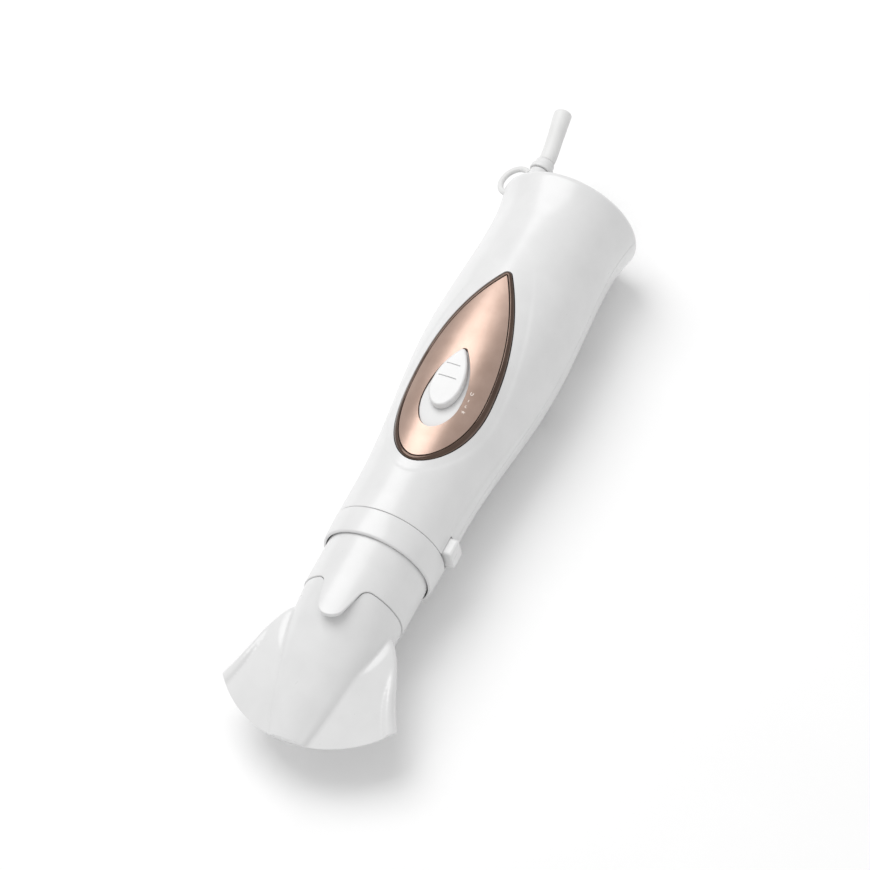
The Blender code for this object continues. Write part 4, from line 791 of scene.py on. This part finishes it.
def wings(name, thickness, inset, beyond, start):
    rows = stations(start, FAN_RADIUS + beyond, 30)
    columns = 64
    verts = []
    for distance in rows:
        half = wing_half_angle(distance, inset)
        for i in range(columns + 1):
            angle = half * (2 * i / columns - 1)
            place = (FAN_CENTRE_X + distance * math.cos(angle), distance * math.sin(angle))
            verts.append((*place, AXIS_Z + fan_height(distance)))
    faces = []
    across = columns + 1
    for row in range(len(rows) - 1):
        for i in range(columns):
            here = row * across + i
            faces.append((here, here + across, here + across + 1, here + 1))
    sheet = solid(name, verts, faces)
    thick = sheet.modifiers.new("thickness", "SOLIDIFY")
    thick.thickness = thickness
    thick.offset = 0.0
    return bake(sheet)


def bead(name, side):
    """The thick rounded edge of a wing."""
    loops = []
    for distance in stations(DUCT_RADIUS - 1 * MM, FAN_RADIUS + 4 * MM, 30):
        share = min(max((distance - DUCT_RADIUS) / (FAN_RADIUS - DUCT_RADIUS), 0.0), 1.0)
        wide = (1.3 + 2.2 * share) * MM
        tall = (1.9 + 1.8 * step(0.05, 0.7, share)) * MM
        inset = 1.19 * wide + BEAD_CLEARANCE
        angle = wing_half_angle(distance, inset)
        further = distance + 0.5 * MM
        ahead = wing_half_angle(further, inset)
        place = Vector((FAN_CENTRE_X + distance * math.cos(angle), side * distance * math.sin(angle)))
        goal = Vector((FAN_CENTRE_X + further * math.cos(ahead), side * further * math.sin(ahead)))
        along = (goal - place).normalized()
        across = Vector((-along.y, along.x))
        loop = []
        for k in range(24):
            flat = place + across * wide * math.cos(TAU * k / 24)
            loop.append((flat.x, flat.y, AXIS_Z + fan_height(distance) + tall * math.sin(TAU * k / 24)))
        loops.append(loop)
    verts, faces = wrap(loops, True)
    return solid(name, verts, faces)


def make_nozzle_body():
    """Lobe, wings and beads grown together with soft creases, then hollowed and trimmed."""
    body = lobe("nozzle_shell", 0.0, 108 * MM, 4 * MM)
    sheet = wings("wing_sheet", WING_THICKNESS, 0.0, 4 * MM, 12 * MM)
    join(body, sheet, bead("bead_left", 1), bead("bead_right", -1))
    grow = body.modifiers.new("grow", "REMESH")
    grow.mode = "VOXEL"
    grow.voxel_size = 0.5 * MM
    even = body.modifiers.new("even", "SMOOTH")
    even.factor = 0.5
    even.iterations = 9
    bake(body)
    cut(
        body, lobe("lobe_inside", 3.4 * MM, 106 * MM, 5 * MM),
        wings("slot_inside", SLOT_HEIGHT, WING_EDGE_WALL, 5 * MM, DUCT_RADIUS),
        wave_sleeve("collar_room", 104 * MM, COLLAR_INNER - GAP, 44 * MM, GAP),
        block("rear_trim", (100 * MM, -50 * MM, -10 * MM), (DUCT_REAR_X, 50 * MM, 80 * MM)),
    )
    edge_z = AXIS_Z + fan_height(FAN_RADIUS) + WING_THICKNESS / 2
    low_radius = FAN_RADIUS - edge_z * math.tan(OUTLET_SLANT)
    loops = []
    for z, radius in ((2 * AXIS_Z, FAN_RADIUS), (edge_z, FAN_RADIUS), (0.0, low_radius)):
        turns = [TAU * i / 320 for i in range(320)]
        loops.append([(FAN_CENTRE_X + radius * math.cos(a), radius * math.sin(a), z) for a in turns])
    verts, faces = wrap(loops, True)
    common(body, solid("outlet_arc", verts, faces))
    show(body, "nozzle", WHITE_GLOSS, ["nozzle_body"], 38.0)


make_collar()
make_nozzle_body()


# ---------------------------------------------------------------------------------------------
# Cord end
# ---------------------------------------------------------------------------------------------

corners = [
    (-76.3, 0.0, 0), (-76.3, 3.0, 0.4), (-82.8, 3.0, 0), (-82.8, 4.9, 0.4), (-85.2, 4.9, 0.7),
    (-85.2, 4.1, 0.2), (-87.8, 4.1, 0.6), (-87.8, 3.45, 0), (-87.8, 0.0, 0),
]
profile = rounded([(x * MM, r * MM, f * MM) for x, r, f in corners], 5)
show(spin("swivel", profile, 72, (CORD_Y, CORD_Z)), "cord_end", WHITE_SATIN, ["cord_swivel"])

points, radii = [], []
for share in [0.0, 0.012] + stations(0.03, 0.96, 40) + [0.975, 0.987, 0.995, 1.0]:
    lean = max(share - 0.1, 0.0) ** 1.1
    points.append((-88.1 * MM - 25 * MM * share, CORD_Y - 3.9 * MM * lean, CORD_Z + 1.6 * MM * lean))
    radius = 3.45 * MM * (1.0 + 0.12 * max(share - 0.5, 0.0) * 2)
    tip = max(share - 0.955, 0.0) / 0.045
    radius *= 0.8 + 0.2 * math.sqrt(max(1 - tip * tip, 0.0))
    if share == 0.0:
        radius -= 0.25 * MM
    points[-1] = Vector(points[-1])
    radii.append(radius)
sleeve = tube("bend_sleeve", points, radii, 48)
direction = (points[-1] - points[-6]).normalized()
turn = Matrix.Translation(points[-1]) @ direction.to_track_quat("Z", "Y").to_matrix().to_4x4()
cut(sleeve, pillar("cord_hole", (0.0, 0.0), -6 * MM, 2 * MM, 2 * MM, 32, turn))
show(sleeve, "cord_end", WHITE_SOFT, ["cord_sleeve"])

tilt = math.radians(-110.0)
outward = Vector((0.0, math.sin(tilt), math.cos(tilt)))
centre = Vector((REAR_X - 2.3 * MM, CORD_Y, CORD_Z)) + outward * LOOP_OFFSET
points = [
    centre + (outward * math.cos(a) + Vector((-1.0, 0.0, 0.0)) * math.sin(a)) * LOOP_RADIUS
    for a in stations(math.radians(-86.0), math.radians(138.0), 80)
]
show(tube("hang_loop", points, [LOOP_WIRE_RADIUS] * len(points), 24), "casing", WHITE_SOFT, ["hanging_loop"])


# ---------------------------------------------------------------------------------------------
# Finishes of the frame's own pieces
# ---------------------------------------------------------------------------------------------

KEPT = {
    "release_button": WHITE_GLOSS, "switch_well": WHITE_SATIN, "case_screw_1": STEEL, "case_screw_2": STEEL,
    "case_screw_3": STEEL, "case_screw_4": STEEL, "motor_shaft": STEEL, "motor_can": STEEL,
    "release_spring": STEEL, "thermostat": STEEL, "thermal_fuse": STEEL, "heater_coil": WIRE,
    "heater_board_flat": MICA, "heater_board_upright": MICA, "heater_tube": MICA, "circuit_board": BOARD,
    "capacitor": YELLOW, "supply_lead_1": BROWN, "supply_lead_2": BLUE,
}
for name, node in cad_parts.items():
    material = KEPT.get(name, BLACK_PLASTIC)
    if node.material_slots:
        for place in node.material_slots:
            place.material = material
    else:
        node.data.materials.append(material)


# ---------------------------------------------------------------------------------------------
# Floor, light and camera
# ---------------------------------------------------------------------------------------------

def stage():
    floor = solid("floor", [(-3, -3, 0), (3, -3, 0), (3, 3, 0), (-3, 3, 0)], [(0, 1, 2, 3)])
    floor.location.z = -0.0002
    paper = finish("paper", (0.97, 0.97, 0.97), (0.98, 0.98, 0.98), 0.7, cloud=20.0, depth=0.02)
    floor.data.materials.append(paper)


def light(name, direction, distance, size, power, target=(0.045, 0.0, 0.03)):
    lamp = bpy.data.lights.new(name, "AREA")
    lamp.shape = "RECTANGLE"
    lamp.size, lamp.size_y = size
    lamp.energy = power
    obj = bpy.data.objects.new(name, lamp)
    aim = Vector(direction).normalized()
    obj.location = Vector(target) + aim * distance
    obj.rotation_mode = "QUATERNION"
    obj.rotation_quaternion = (-aim).to_track_quat("-Z", "Y")
    bpy.context.scene.collection.objects.link(obj)


def camera():
    data = bpy.data.cameras.new("camera")
    data.sensor_width = 36.0
    data.lens = 186.2
    data.clip_end = 20.0
    obj = bpy.data.objects.new("camera", data)
    back = Vector((0.468, 0.352, 0.811)).normalized()
    right = Vector((-0.432, 0.891, -0.138))
    right = (right - back * right.dot(back)).normalized()
    up = back.cross(right)
    turn = Matrix((right, up, back)).transposed()
    obj.matrix_world = Matrix.Translation(Vector((0.045, -0.005, 0.031)) + back * 1.8) @ turn.to_4x4()
    bpy.context.scene.collection.objects.link(obj)
    bpy.context.scene.camera = obj


stage()
camera()
world = bpy.data.worlds.new("studio")
world.use_nodes = True
world.node_tree.nodes["Background"].inputs["Color"].default_value = (1.0, 1.0, 1.0, 1.0)
world.node_tree.nodes["Background"].inputs["Strength"].default_value = 0.6
bpy.context.scene.world = world
bpy.context.scene.view_settings.view_transform = "Standard"
light("key", (-0.25, -0.40, 1.0), 1.4, (1.0, 1.2), 11.5)
light("fill", (0.9, 0.6, 0.9), 1.6, (0.9, 0.5), 1.5)
